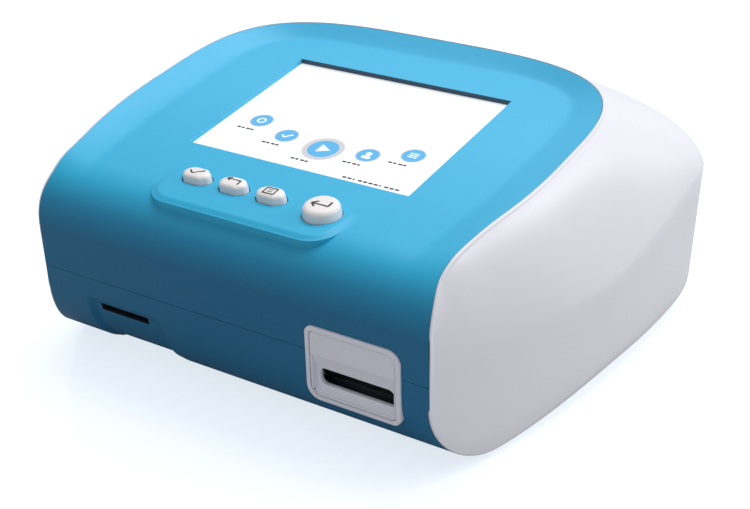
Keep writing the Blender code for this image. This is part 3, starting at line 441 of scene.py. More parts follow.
def recess(x, z):
    low, high, top = CARD_RECESS
    across = ease((x - low) / 4.0) * ease((high - x) / 4.0)
    return CARD_RECESS_DEPTH * across * ease((top - z) / 3.5)


def blue_row(station, shares, is_top):
    point, offset, out = station
    edge = point - out * BLUE_EDGE
    flat = row_normal(point.y, is_top)
    last = station is TOP[-1]
    outer, inner = [], []
    for share in shares:
        side = -1.0 if share < 0 else 1.0
        x = abs(share) * edge.x
        height = point.z - rim_height(point.y) + rim(x, point.y) if is_top else point.z
        if abs(share) < 1.0:
            place = Vector((x, edge.y if last else point.y, height))
            if not is_top:
                place -= flat * recess(side * x, height)
            under = place - (offset if point.y > REAR_BAND_Y else flat) * WALL
        else:
            place = Vector((x, edge.y, point.z))
            under = edge - offset * WALL
        outer.append((side * place.x, place.y, place.z))
        inner.append((side * under.x, under.y, under.z))
    return outer, inner


def blue_cover(rows, shares):
    grids = [blue_row(station, shares, is_top) for station, is_top in rows]
    return sheet([outer for outer, _ in grids], [inner for _, inner in grids])


def mirrored(shares):
    return [-share for share in reversed(shares) if share > 0] + list(shares)


def key_outline(x, grow=0.0, corner=3.1):
    a, b = KEY_SIZE[0] / 2 + grow, KEY_SIZE[1] / 2 + grow
    points = [
        (x + a, KEY_U - b + corner), (x + a, KEY_U + b - corner), (x + a - corner, KEY_U + b),
        (x - a + corner, KEY_U + b), (x - a, KEY_U + b - corner), (x - a, KEY_U - b + corner),
        (x - a + corner, KEY_U - b), (x + a - corner, KEY_U - b),
    ]
    return soften(points, 1.2)


def soften(points, radius, steps=4):
    """Rounds each corner of a polygon with a short curve."""
    outline = []
    count = len(points)
    for i in range(count):
        corner = Vector(points[i])
        start = corner + (Vector(points[i - 1]) - corner).normalized() * radius
        end = corner + (Vector(points[(i + 1) % count]) - corner).normalized() * radius
        for k in range(steps + 1):
            t = k / steps
            spot = start * (1 - t) ** 2 + corner * (2 * t * (1 - t)) + end * t * t
            outline.append((spot.x, spot.y))
    return outline


def surround_outline(grow=0.0):
    low_x, high_x, low_z, high_z = SURROUND
    return rounded(low_x - grow, high_x + grow, low_z - grow, high_z + grow,
                   (6.0 + grow, 3.6 + grow, 6.5 + grow, 3.6 + grow))


def island_body():
    """The keypad's raised bed: it swells out of the panel in front and sinks into it behind."""
    half, low_u, high_u = ISLAND
    bm = bmesh.new()
    rings = []
    for share in [-1.0] + spread(0.0, 1.0, 12):
        inset = ISLAND_SLOPE * max(share, 0.0)
        swell = ISLAND_HEIGHT * ease(share) if share >= 0 else -1.8
        outline = rounded(-half + inset, half - inset, low_u + inset, high_u - inset,
                          (5.0, 5.0, 13.0 - inset, 13.0 - inset), 12)
        ring = []
        for x, u in outline:
            fade = ease((u - 22.0) / (high_u - 22.0)) * (ISLAND_HEIGHT + 0.5) if share >= 0 else 0.0
            foot = 0.32 * max(ISLAND_FOOT - u, 0.0) if share < 0 else 0.0
            ring.append(bm.verts.new((x, u, swell - 0.12 - fade - foot)))
        rings.append(ring)
    for near, far in zip(rings, rings[1:]):
        count = len(near)
        for i in range(count):
            j = (i + 1) % count
            bm.faces.new((near[i], near[j], far[j], far[i]))
    bm.faces.new(rings[0])
    bm.faces.new(rings[-1])
    return into_panel(bm)


def make_upper_cover(look):
    upright = front_stations(spread(PARTING_HEIGHT + PARTING_GAP, BROW_BASE, 8)[:-1])
    rows = [(station, False) for station in upright] + [(station, True) for station in TOP]
    cover = piece("upper_cover_skin", blue_cover(rows, mirrored(ACROSS)), look["blue_cover"],
                  stands_for=("upper_cover",))
    combine(cover, island_body(), "UNION")
    half, low_u, high_u = WINDOW
    cutters = [into_panel(prism(rounded(-half, half, low_u, high_u, 0.6, 3), "Z", -6.0, 6.0))]
    cutters += [into_panel(prism(key_outline(x, KEY_GAP), "Z", -6.0, 6.0)) for _, x in KEYS]
    enter = circle(ENTER_X, ENTER_U, ENTER_RADIUS + KEY_GAP, 64)
    cutters.append(into_panel(prism(enter, "Z", -6.0, 6.0)))
    cutters.append(prism(surround_outline(SURROUND_GAP), "Y", -5.0, 10.0))
    combine(cover, merged(*cutters), "DIFFERENCE")
    # painted shade: the window's upper wall gets a darker blue because it lies in shade
    shade_faces(cover, look["window_wall"], on_upper_window_wall)


def shade_faces(obj, material, wanted):
    """Gives a second material to the faces that a test picks out."""
    obj.data.materials.append(material)
    for face in obj.data.polygons:
        if wanted(face):
            face.material_index = 1


def on_upper_window_wall(face):
    """The wall at the window's upper edge lies in shade, and looks a darker blue than the panel."""
    half, low_u, high_u = WINDOW
    reach = 0.3
    out_of_panel = (Matrix.Translation((0.0, CASE_FRONT, PANEL_FRONT_HEIGHT * MM))
                    @ Matrix.Rotation(PANEL_TILT, 4, "X"))
    back = out_of_panel.inverted()
    x, u, _ = back @ face.center / MM
    facing = back.to_3x3() @ face.normal
    return facing.y < -0.7 and abs(x) < half + reach and low_u - reach < u < high_u + reach


# Picks the card slot's side walls, which get black plastic as painted shade inside the deep slot.
def on_card_slot_shaded_wall(face):
    low_x, high_x, low_z, high_z = CARD_SLOT
    reach = 0.1
    x, z = face.center.x / MM, face.center.z / MM
    return (low_x - reach < x < high_x + reach and low_z - reach < z < high_z + reach
            and abs(face.normal.y) < 0.2)


def make_lower_front(look):
    low, high, _ = CARD_RECESS
    extra = [x / SEAM_FRONT_HALF for x in spread(low, low + 4.0, 8) + spread(high - 4.0, high, 8)]
    shares = sorted(set(mirrored(ACROSS)) | set(extra))
    rows = [(station, False) for station in reversed(UNDERSIDE)]
    upright = front_stations(spread(UNDERCUT_TOP, PARTING_HEIGHT - PARTING_GAP, 8))
    rows += [(station, False) for station in upright]
    cover = piece("lower_front_skin", blue_cover(rows, shares), look["blue_cover"],
                  stands_for=("lower_front_cover",))
    low_x, high_x, low_z, high_z = CARD_SLOT
    slit = prism(rounded(low_x, high_x, low_z, high_z, 0.7, 4), "Y", -5.0, 12.0)
    opening = prism(surround_outline(SURROUND_GAP), "Y", -5.0, 12.0)
    combine(cover, merged(slit, opening), "DIFFERENCE")
    # painted shade: the card slot's blue walls take the black plastic to stand in for the shade inside
    # the slot
    shade_faces(cover, look["dark_plastic"], on_card_slot_shaded_wall)


# ------------------------------------------------------------------ white housing

def curve(points, t):
    a, b, c, d = points
    s = 1 - t
    return a * s ** 3 + b * (3 * s * s * t) + c * (3 * s * t * t) + d * t ** 3


def base_places():
    """Outline point under each seam station, and the direction out of the case there."""
    places = []
    bend = [point.xy for point, _, _ in TOP if point.y >= SEAM_TURN_Y - 0.001]
    bend.append(Vector((0.0, SEAM_REAR_Y)))
    run = np.cumsum([0.0] + [(b - a).length for a, b in zip(bend, bend[1:])])
    total, surplus = run[-1], BASE_LENGTHS[-1] - run[-1]
    for point, _, _ in TOP:
        if point.y < SEAM_TURN_Y - 0.001:
            lean = (WIDEST_Y - point.y) / SIDE_ARC_RADIUS
            away = Vector((math.sqrt(1 - lean * lean), -lean))
            places.append((Vector((wall_half(point.y), point.y)), away))
            continue
        here = len(places) - sum(p.y < SEAM_TURN_Y - 0.001 for p, _, _ in TOP)
        t = run[here] / total
        places.append(along_base(run[here] + surplus * t * t * (3 - t) / 2))
    return places


PLACES = base_places()


def white_column(index, depth):
    point, offset, out = TOP[index]
    top = point + out * WHITE_EDGE - offset * depth
    y = point.y
    place, away = PLACES[index]
    underside = y <= UNDERSIDE_END + 0.001
    if depth and underside:
        squeezed = depth * 1.04 + y * (1 - depth * 1.04 / UNDERSIDE_END)
        place = Vector((wall_half(squeezed) - depth * 1.09, squeezed))
    elif depth:
        place = place - away * depth
    if underside and not depth:
        place = place + Vector((WHITE_EDGE, 0.0))
    crease = crease_height(y if y <= SEAM_TURN_Y else place.y)
    bottom = CASE_BOTTOM + depth
    if y < UNDERCUT_RADIUS:
        bottom = undercut_height(place.y if underside else y, depth)
    fillet = max(fillet_radius(y) - depth, LEAST_FILLET / 2)
    reach = (place - top.xy).length
    heading = (place - top.xy).normalized() if reach > 0.01 else Vector((0.0, 1.0))
    drop = top.z - crease
    first = top + Vector((*(heading * reach * 0.48 * math.cos(SHOULDER_ANGLE)),
                          -reach * 0.48 * math.sin(SHOULDER_ANGLE)))
    foot = Vector((*place, crease))
    lean = math.tan(CREASE_ANGLE * ease((y - 25.0) / 110.0)) * min(reach / 20.0, 1.0)
    lean *= ease((place.x - 40.0) / 60.0)
    last = foot + Vector((*(-heading * lean * drop * 0.42), drop * 0.42))
    handles = (top, first, last, foot)
    steps = [LIP_WIDTH * 2 * i / 9 / (1.44 * max(reach, 12.0)) for i in range(9)]
    steps += spread(LIP_WIDTH * 2 / (1.44 * max(reach, 12.0)), 1.0, SHOULDER_STEPS)
    points = [curve(handles, t) for t in steps]
    wall_low = bottom + fillet
    for share in spread(0.0, 1.0, WALL_STEPS)[1:]:
        z = crease + (wall_low - crease) * share
        tuck = away * (WALL_TUCK * (crease - z) * min(fillet_radius(y) / BOTTOM_FILLET, 1.0))
        points.append(Vector((*(place - tuck), z)))
    knee = points[-1]
    inward = Vector((-1.0, 0.0)) if underside else -away
    for turn in spread(0.0, math.pi / 2, FILLET_STEPS)[1:]:
        shift = inward * (fillet * (1 - math.cos(turn)))
        points.append(Vector((knee.x + shift.x, knee.y + shift.y, knee.z - fillet * math.sin(turn))))
    return points


def match_front_edge(outer, inner):
    """The first column is the upright corner, mitred against the blue front."""
    count = len(outer)
    for i, z in enumerate(spread(TOP[0][0].z, UNDERCUT_TOP, count - 1)):
        outer[i] = Vector((SEAM_FRONT_HALF + WHITE_EDGE, 0.0, z))
        if i:
            inner[i] = outer[i] - CORNER * WALL


def match_underside(outer, inner):
    for i, (point, offset, out) in enumerate(UNDERSIDE, start=1):
        outer[i][-1] = point + out * WHITE_EDGE
        knee = inner[i][-1 - FILLET_STEPS]
        edge = outer[i][-1] - offset * WALL
        for step in range(1, FILLET_STEPS + 1):
            inner[i][-1 - FILLET_STEPS + step] = knee.lerp(edge, step / FILLET_STEPS)


def seam_distance(points):
    """Distance of each point of a grid from the seam between blue and white."""
    line = [point for point, _, _ in reversed(UNDERSIDE)]
    line += [point for point, _, _ in front_stations(spread(UNDERCUT_TOP, TOP[0][0].z, 40))]
    line = np.array([list(point) for point in line + [point for point, _, _ in TOP]])
    starts, runs = line[:-1], np.diff(line, axis=0)
    flat = points.reshape(-1, 3)
    best = np.full(len(flat), 1e9)
    for start, run in zip(starts, runs):
        length = max(run @ run, 1e-9)
        t = np.clip((flat - start) @ run / length, 0.0, 1.0)
        best = np.minimum(best, np.linalg.norm(flat - start - t[:, None] * run, axis=1))
    return best.reshape(points.shape[:2])


def with_lip(grid):
    """Raises a narrow bead along the seam."""
    points = np.array([[list(p) for p in column] for column in grid])
    down = np.gradient(points, axis=1)
    across = np.gradient(points, axis=0)
    normals = np.cross(down, across)
    normals /= np.maximum(np.linalg.norm(normals, axis=2, keepdims=True), 1e-9)
    if normals[len(normals) // 2, 20, 0] < 0:
        normals = -normals
    low = points[:, :, 2] < LIP_UPRIGHT_BELOW
    aslant = np.maximum(np.linalg.norm(normals[:, :, 1:], axis=2), 1e-9)
    kept = np.where(low, np.minimum(aslant, 0.5), aslant)
    normals[:, :, 1:] *= (kept / aslant)[:, :, None]
    normals[:, :, 0] = np.where(low, np.sqrt(1 - np.minimum(kept, 0.999) ** 2), normals[:, :, 0])
    distance = seam_distance(points)
    fall = np.clip((distance - LIP_WIDTH) / (0.9 * LIP_WIDTH), 0.0, 1.0)
    height = LIP_HEIGHT * (1 - fall * fall * (3 - 2 * fall))
    near = np.clip(distance / 0.4, 0.0, 1.0)
    height -= LIP_HEIGHT * 0.8 * (1 - np.sqrt(np.maximum(1 - (1 - near) ** 2, 0.0)))
    height *= np.clip((points[:, :, 2] - LIP_GONE_BELOW) / 20.0, 0.0, 1.0)
    points += normals * height[:, :, None]
    return [[Vector(p) for p in column] for column in points]


def white_shell():
    outer = [white_column(i, 0.0) for i in range(len(TOP))]
    inner = [white_column(i, WALL) for i in range(len(TOP))]
    match_front_edge(outer[0], inner[0])
    match_underside(outer, inner)
    outer = with_lip(outer)
    left = [[Vector((-p.x, p.y, p.z)) for p in column] for column in outer]
    left_inner = [[Vector((-p.x, p.y, p.z)) for p in column] for column in inner]
    return sheet(left + outer[::-1], left_inner + inner[::-1])


def make_housing(look):
    shell = white_shell()
    lid_shell = shell.copy()
    housing = piece("rear_housing_skin", shell, look["white_case"],
                    stands_for=("rear_housing",))
    half, low_y, high_y = BAY
    bay = prism(rounded(-half, half, low_y, high_y, 1.2, 4), "Z", *DECK_HEIGHTS)
    half, low_z, high_z = SOCKET_PANEL
    sockets = prism(rounded(-half, half, low_z, high_z, 3.0), "Y", 215.0, 240.0)
    combine(housing, merged(bay, sockets), "DIFFERENCE")
    make_lid(look, lid_shell)


def make_lid(look, shell):
    """The lid is the same skin as the housing, with an arm at each end round the hinge pin."""
    lid = piece("printer_lid_skin", shell, look["white_case"], body="printer_lid",
                stands_for=("printer_lid",))
    half, low_y, _ = BAY
    outline = rounded(-half + 0.5, half - 0.5, low_y + 3.4, LID_REAR, 1.0, 4)
    combine(lid, prism(outline, "Z", *DECK_HEIGHTS), "INTERSECT")
    y, z = LID_AXIS
    reach = 0.7 * KNUCKLE
    knuckle = [(a, b) for a, b in circle(y, z, KNUCKLE, 24) if a > y - reach or b < z - reach]
    arm = [(y - 7.0, z + 5.6), (y - 7.0, z + 3.7), (y - 1.3, z - 1.5),
           *knuckle[len(knuckle) * 3 // 4:], *knuckle[:len(knuckle) // 4 + 1], (y - 2.8, z + 2.6)]
    for low, high in ((-30.0, -20.0), (20.0, 30.0)):
        combine(lid, prism(arm, "X", low, high), "UNION")
    combine(lid, prism(circle(y, z, PIN_BORE, 24), "X", -34.0, 34.0), "DIFFERENCE")


# ------------------------------------------------------------------ slot, keys and screen

def make_slot(look):
    low_x, high_x, low_z, high_z = SURROUND
    lip, rim_radius = 2.1, 0.7
    loops = [(surround_outline(), 4.6)]
    loops += [(surround_outline(-rim_radius * (1 - math.cos(t))),
               -FRONT_PROUD + rim_radius * (1 - math.sin(t))) for t in spread(0.0, math.pi / 2, 5)]
    ring = piece("slot_surround_skin", loft(loops, "Y"), look["light_grey"],
                 stands_for=("slot_surround",))
    inner = rounded(low_x + lip, high_x - lip, low_z + lip, high_z - lip, (4.2, 2.0, 4.8, 2.0))
    combine(ring, prism(inner, "Y", -4.0, 8.0), "DIFFERENCE")
    edge = lip + 0.3
    face = rounded(low_x + edge, high_x - edge, low_z + edge, high_z - edge, (4.0, 1.8, 4.6, 1.8))
    plate = piece("slot_face_skin", prism(face, "Y", SLOT_FACE_Y, SLOT_DEPTH), look["light_grey"],
                  stands_for=("slot_face_plate",))
    left, right, bottom, top = SLOT
    before = -3.0
    slope = [(before, SLOT_CREASE), (SLOT_FACE_Y, SLOT_CREASE), (SLOT_SETBACK, top + 0.3),
             (SLOT_SETBACK, SLOT_SHELF + 1.4), (-0.3, SLOT_SHELF), (before, SLOT_SHELF)]
    combine(plate, prism(slope, "X", low_x + edge + 0.9, high_x - edge - 0.6), "DIFFERENCE")
    mouth = rounded(left, right, bottom, top, (3.0, 2.0, 3.0, 0.8))
    combine(plate, prism(mouth, "Y", -5.0, 9.0), "DIFFERENCE")
    bead = circle(-0.56, SLOT_CREASE + 0.1, 0.2, 12)
    combine(plate, prism(bead, "X", low_x + edge + 0.6, high_x - edge - 0.4), "UNION")


def shrunk(outline, x, u, share):
    return [(x + (a - x) * share, u + (b - u) * share) for a, b in outline]


def key_cap(flange, outline, x, u, top, edge, half):
    """A cap with a flange below the cover, near-upright sides, a round rim and a faintly domed top."""
    loops = [(flange, -4.4), (flange, -3.4), (outline, -3.39), (outline, 0.6)]
    for t in spread(0.0, math.pi / 2, 9):
        inset = 0.25 + edge * (1 - math.cos(t))
        loops.append((shrunk(outline, x, u, 1 - inset / half), top - edge + edge * math.sin(t) - 0.15))
    inner = 1 - (0.25 + edge) / half
    for share in (0.75, 0.5, 0.25):
        loops.append((shrunk(outline, x, u, inner * share), top - 0.15 * share * share))
    return into_panel(loft(loops, "Z"))


def make_keys(look):
    for name, x in KEYS:
        flange = key_outline(x, KEY_FLANGE)
        cap = key_cap(flange, key_outline(x), x, KEY_U, KEY_TOP, 1.7, KEY_SIZE[1] / 2)
        piece(f"{name}_cap", cap, look["key_white"], body=name, stands_for=(name,),
              sharp=60.0)
    flange = circle(ENTER_X, ENTER_U, ENTER_RADIUS + KEY_FLANGE, 64)
    outline = circle(ENTER_X, ENTER_U, ENTER_RADIUS, 64)
    enter = key_cap(flange, outline, ENTER_X, ENTER_U, ENTER_TOP, 2.4, ENTER_RADIUS)
    piece("enter_key_cap", enter, look["key_white"], body="enter_key",
          stands_for=("enter_key",), sharp=60.0)
    make_key_marks(look)


def bar(x0, u0, x1, u1, width, w):
    """A flat stroke with square ends, lying at height w over the panel."""
    a, b = Vector((x0, u0)), Vector((x1, u1))
    side = (b - a).normalized()
    normal = Vector((-side.y, side.x)) * width / 2
    corners = [a + normal, a - normal, b - normal, b + normal]
    return prism([(p.x, p.y) for p in corners], "Z", w, w + 0.06)


def strokes(points, width, w, x=0.0, u=0.0):
    return [bar(x + a[0], u + a[1], x + b[0], u + b[1], width, w) for a, b in zip(points, points[1:])]


def arc_points(radius, start, end, count=12):
    turns = [math.radians(a) for a in spread(start, end, count)]
    return [(radius * math.cos(turn), radius * math.sin(turn)) for turn in turns]


def make_key_marks(look):
    """Plain pictograms: a tick, a turned arrow, a sheet of paper and a bent enter arrow."""
    top = KEY_TOP - 0.06
    (_, x1), (_, x2), (_, x3) = KEYS
    tick = strokes([(-3.2, 0.3), (-1.0, -1.7), (3.4, 2.0)], 0.75, top, x1, KEY_U)
    back = strokes([(3.4, -1.7), (3.4, 1.2), (-3.2, 1.2)], 0.7, top, x2, KEY_U)
    back += strokes([(-1.6, 2.5), (-3.4, 1.2), (-1.6, -0.1)], 0.7, top, x2, KEY_U)
    border = [(-2.6, -2.1), (-2.6, 2.1), (2.6, 2.1), (2.6, -2.1), (-2.95, -2.1)]
    page = strokes(border, 0.65, top, x3, KEY_U)
    page += strokes([(-1.3, 0.75), (1.3, 0.75)], 0.55, top, x3, KEY_U)
    page += strokes([(-1.3, -0.7), (1.3, -0.7)], 0.55, top, x3, KEY_U)
    top = ENTER_TOP - 0.06
    enter = strokes([(3.9, 2.6), (3.9, -0.8), (-3.6, -0.8)], 0.95, top, ENTER_X, ENTER_U)
    enter += strokes([(-1.6, 1.2), (-3.9, -0.8), (-1.6, -2.8)], 0.95, top, ENTER_X, ENTER_U)
    groups = {"qc_key": tick, "return_key": back, "print_key": page, "enter_key": enter}
    for name, marks in groups.items():
        piece(f"{name}_mark", into_panel(merged(*marks)), look["dark_print"], body=name)


ICONS = ((-40.6, 87.4, 5.1), (-21.5, 80.2, 5.1), (0.6, 76.7, 7.1), (21.7, 79.9, 5.1), (40.2, 87.4, 5.1))


def make_screen(look):
    half, low_u, high_u = WINDOW
    behind = 3.0  # how far the glass runs on behind the cover
    outline = rounded(-half - behind, half + behind, low_u - behind, high_u + behind, 1.0, 4)
    face = prism(outline, "Z", -3.9, GLASS_TOP - 0.12)
    piece("touch_screen_face", into_panel(face), look["screen_white"],
          stands_for=("touch_glass",))
    level = GLASS_TOP - 0.11
    halos, discs, marks, labels = [], [], [], []
    for x, u, radius in ICONS:
        big = radius > 6.0
        halos.append(prism(circle(x, u, radius * (1.36 if big else 1.13)), "Z", level, level + 0.02))
        discs.append(prism(circle(x, u, radius), "Z", level + 0.01, level + 0.05))
        row = u - radius - (4.9 if big else 3.6)
        for k in range(4):
            start = x - 7.4 + 2.5 * k - (1.6 if big else 0.0)
            labels.append(bar(start, row, start + (2.0, 1.6, 2.1, 1.5)[k], row, 1.15, level))
    for k in range(11):
        start = 21.6 + 2.6 * k
        labels.append(bar(start, 60.2, start + (2.0 if k % 5 != 2 else 0.9), 60.2, 1.15, level))
    over = level + 0.045
    (x1, u1, _), (x2, u2, _), (x3, u3, _), (x4, u4, _), (x5, u5, _) = ICONS
    triangle = [(x3 - 2.2, u3 + 3.3), (x3 - 2.2, u3 - 3.3), (x3 + 3.7, u3)]
    marks.append(prism(triangle, "Z", over, over + 0.025))
    marks += strokes(arc_points(1.9, 0, 360, 16), 0.85, over, x1, u1)
    marks += strokes([(-2.2, 0.0), (-0.6, -1.7), (2.5, 1.7)], 0.95, over, x2, u2)
    marks.append(prism(circle(x4, u4 + 1.0, 1.5, 20), "Z", over, over + 0.025))
    marks.append(prism(rounded(x4 - 2.2, x4 + 2.2, u4 - 3.0, u4 - 0.7, 1.0, 4), "Z", over, over + 0.025))
    for k in range(3):
        marks += strokes([(-2.2, 1.5 - 1.5 * k), (2.2, 1.5 - 1.5 * k)], 0.75, over, x5, u5)
    layers = {
        "screen_halos": (halos, "screen_grey"),
        "screen_icons": (discs, "screen_blue"),
        "screen_marks": (marks, "screen_mark"),
        "screen_labels": (labels, "dark_print"),
    }
    for name, (shapes, material) in layers.items():
        piece(name, into_panel(merged(*shapes)), look[material])


# ------------------------------------------------------------------ materials

def new_material(name, color, roughness, metallic=0.0, coat=0.0):
    material = bpy.data.materials.new(name)
    material.use_nodes = True
    shader = material.node_tree.nodes["Principled BSDF"]
    shader.inputs["Base Color"].default_value = (*color, 1.0)
    shader.inputs["Roughness"].default_value = roughness
    shader.inputs["Metallic"].default_value = metallic
    shader.inputs["Coat Weight"].default_value = coat
    return material, material.node_tree, shader


def noise(tree, scale, detail, vector):
    node = tree.nodes.new("ShaderNodeTexNoise")
    node.inputs["Scale"].default_value = scale
    node.inputs["Detail"].default_value = detail
    tree.links.new(vector, node.inputs["Vector"])
    return node.outputs["Fac"]


def ramp(tree, value, low, high):
    node = tree.nodes.new("ShaderNodeMapRange")
    node.inputs["To Min"].default_value = low
    node.inputs["To Max"].default_value = high
    tree.links.new(value, node.inputs["Value"])
    return node.outputs["Result"]


def tinted(tree, value, dark, light):
    node = tree.nodes.new("ShaderNodeMix")
    node.data_type = "RGBA"
    tree.links.new(value, node.inputs["Factor"])
    node.inputs[6].default_value = (*dark, 1.0)
    node.inputs[7].default_value = (*light, 1.0)
    return node.outputs[2]


def moulded(name, color, roughness, grain=1.0, coat=0.0, metallic=0.0, spread_by=0.04):
    """Moulded plastic: a very fine spark-eroded grain, and slow changes of shade and gloss."""
    material, tree, shader = new_material(name, color, roughness, metallic, coat)
    place = tree.nodes.new("ShaderNodeTexCoord").outputs["Object"]
    cloud = noise(tree, 14.0, 3.0, place)
    dark = tuple(c * (1 - spread_by) for c in color)
    light = tuple(min(c * (1 + spread_by), 1.0) for c in color)
    tree.links.new(tinted(tree, cloud, dark, light), shader.inputs["Base Color"])
    fine = noise(tree, 2600.0, 2.0, place)
    tree.links.new(ramp(tree, fine, roughness - 0.05, roughness + 0.05), shader.inputs["Roughness"])
    soft = tree.nodes.new("ShaderNodeBevel")
    soft.samples = 4
    soft.inputs["Radius"].default_value = 0.0004
    bump = tree.nodes.new("ShaderNodeBump")
    bump.inputs["Strength"].default_value = 0.08 * grain
    bump.inputs["Distance"].default_value = 0.0002
    tree.links.new(fine, bump.inputs["Height"])
    tree.links.new(soft.outputs["Normal"], bump.inputs["Normal"])
    tree.links.new(bump.outputs["Normal"], shader.inputs["Normal"])
    return material


def blue_plastic():
    """The covers' blue: pale on the panel, darkening to a deep petrol blue down the brow and the front
    face as painted shade.
    """
    material = moulded("blue_plastic", (0.5, 0.5, 0.5), 0.42)
    tree = material.node_tree
    shader = tree.nodes["Principled BSDF"]
    shader.inputs["Specular IOR Level"].default_value = 0.36
    place = tree.nodes.new("ShaderNodeTexCoord").outputs["Object"]
    height = tree.nodes.new("ShaderNodeSeparateXYZ")
    tree.links.new(place, height.inputs[0])
    scale = tree.nodes.new("ShaderNodeMapRange")
    scale.inputs["From Min"].default_value = BLUE_LOW * MM
    scale.inputs["From Max"].default_value = BLUE_HIGH * MM
    tree.links.new(height.outputs["Z"], scale.inputs["Value"])
    # painted shade: the blue is darkened with height down the brow and the front face, where less light
    # falls
    fade = tree.nodes.new("ShaderNodeValToRGB")
    stops = fade.color_ramp.elements
    stops.remove(stops[-1])
    stops[0].color = (*BLUE_SHADE_STOPS[0][1], 1.0)
    for at, color in BLUE_SHADE_STOPS[1:]:
        stops.new(at).color = (*color, 1.0)
    tree.links.new(scale.outputs["Result"], fade.inputs["Fac"])
    cloud = tree.nodes.new("ShaderNodeMix")
    cloud.data_type = "RGBA"
    cloud.blend_type = "SOFT_LIGHT"
    cloud.inputs["Factor"].default_value = 0.5
    tree.links.new(fade.outputs["Color"], cloud.inputs[6])
    tree.links.new(shader.inputs["Base Color"].links[0].from_socket, cloud.inputs[7])
    tree.links.new(cloud.outputs[2], shader.inputs["Base Color"])
    return material


def metal(name, color, roughness):
    """Plain sheet or turned metal, with faint lines along X."""
    material, tree, shader = new_material(name, color, roughness, 1.0)
    place = tree.nodes.new("ShaderNodeTexCoord").outputs["Object"]
    stretch = tree.nodes.new("ShaderNodeMapping")
    stretch.inputs["Scale"].default_value = (20.0, 900.0, 900.0)
    tree.links.new(place, stretch.inputs["Vector"])
    lines = noise(tree, 1.0, 2.0, stretch.outputs["Vector"])
    tree.links.new(ramp(tree, lines, roughness - 0.08, roughness + 0.1), shader.inputs["Roughness"])
    shade = tinted(tree, lines, tuple(c * 0.88 for c in color), color)
    tree.links.new(shade, shader.inputs["Base Color"])
    return material


def board(name):
    """Green solder mask with copper runs showing through as lighter lines."""
    material, tree, shader = new_material(name, (0.02, 0.16, 0.07), 0.4)
    place = tree.nodes.new("ShaderNodeTexCoord").outputs["Object"]
    brick = tree.nodes.new("ShaderNodeTexBrick")
    brick.inputs["Scale"].default_value = 120.0
    brick.inputs["Mortar Size"].default_value = 0.06
    brick.inputs["Color1"].default_value = (0.015, 0.13, 0.06, 1.0)
    brick.inputs["Color2"].default_value = (0.02, 0.17, 0.08, 1.0)
    brick.inputs["Mortar"].default_value = (0.06, 0.30, 0.14, 1.0)
    tree.links.new(place, brick.inputs["Vector"])
    tree.links.new(brick.outputs["Color"], shader.inputs["Base Color"])
    return material


def lit(name, color, strength, roughness=0.16):
    """A lit display behind glossy glass: the picture glows and the surface still reflects."""
    material, tree, shader = new_material(name, color, roughness, coat=0.6)
    place = tree.nodes.new("ShaderNodeTexCoord").outputs["Object"]
    cloud = noise(tree, 9.0, 1.0, place)
    shade = tinted(tree, cloud, tuple(c * 0.97 for c in color), color)
    tree.links.new(shade, shader.inputs["Base Color"])
    tree.links.new(shade, shader.inputs["Emission Color"])
    shader.inputs["Emission Strength"].default_value = strength
    return material


# Heights and colour stops of the painted shade on the blue covers: darker towards the front face.
BLUE_LOW, BLUE_HIGH = 30.0, 100.0
BLUE_SHADE_STOPS = (
    (0.0, (0.006, 0.150, 0.31)),
    (0.50, (0.006, 0.150, 0.31)),
    (0.68, (0.010, 0.25, 0.46)),
    (0.82, (0.022, 0.42, 0.68)),
    (1.0, (0.065, 0.48, 0.76)),
)


def make_looks():
    return {
        "blue_cover": blue_plastic(),
        # painted shade: a darker blue for the window's upper wall, which lies in shade
        "window_wall": moulded("window_wall", (0.010, 0.060, 0.11), 0.5),
        "white_case": moulded("white_plastic", (0.79, 0.79, 0.845), 0.36),
        "light_grey": moulded("grey_plastic", (0.84, 0.84, 0.92), 0.42),
        "key_white": moulded("key_plastic", (0.86, 0.82, 0.80), 0.38, grain=0.5),
        "dark_plastic": moulded("black_plastic", (0.022, 0.022, 0.026), 0.5),
        "rubber": moulded("black_rubber", (0.03, 0.03, 0.03), 0.75, grain=2.0),
        "paper": moulded("thermal_paper", (0.9, 0.9, 0.87), 0.8, grain=1.5),
        "dark_print": moulded("dark_print", (0.05, 0.05, 0.06), 0.5, grain=0.3),
        "steel": metal("sheet_steel", (0.56, 0.57, 0.58), 0.32),
        "gold": metal("gold_plate", (0.78, 0.56, 0.22), 0.28),
        "board_green": board("circuit_board"),
        "screen_white": lit("screen_white", (0.93, 0.95, 0.97), 0.35),
        "screen_grey": lit("screen_grey", (0.62, 0.64, 0.67), 0.1),
        "screen_blue": lit("screen_blue", (0.08, 0.40, 0.72), 0.25),
        "screen_mark": lit("screen_mark", (0.80, 0.90, 0.96), 0.3),
    }


SOFTENED = ("power_inlet", "switch_frame", "power_rocker", "usb_socket", "serial_socket", "socket_plate",
            "foot_front_left", "foot_front_right", "foot_rear_left", "foot_rear_right", "base_plate")
SOFT_EDGE = 0.3


def dress_cad_nodes(look):
    """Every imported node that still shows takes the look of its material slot."""
    slots = {part["node"]: part["material_slot"] for part in frame["record"]["subparts"]}
    for name, node in frame["nodes"].items():
        slot = slots[name]
        material = look["screen_white"] if slot == "screen_glass" else look[slot]
        node.data.materials.clear()
        node.data.materials.append(material)
        if name in SOFTENED:
            soft = node.modifiers.new("soft_edges", "BEVEL")
            soft.width, soft.segments, soft.limit_method = SOFT_EDGE * MM, 2, "ANGLE"


# ------------------------------------------------------------------ studio

CAMERA_AZIMUTH, CAMERA_ELEVATION, CAMERA_ROLL = (math.radians(a) for a in (33.38, 27.67, -1.50))
CAMERA_PLACE = (324.9, -377.0, 333.7)
CAMERA_LENS = 66.6
SENSOR = 36.0


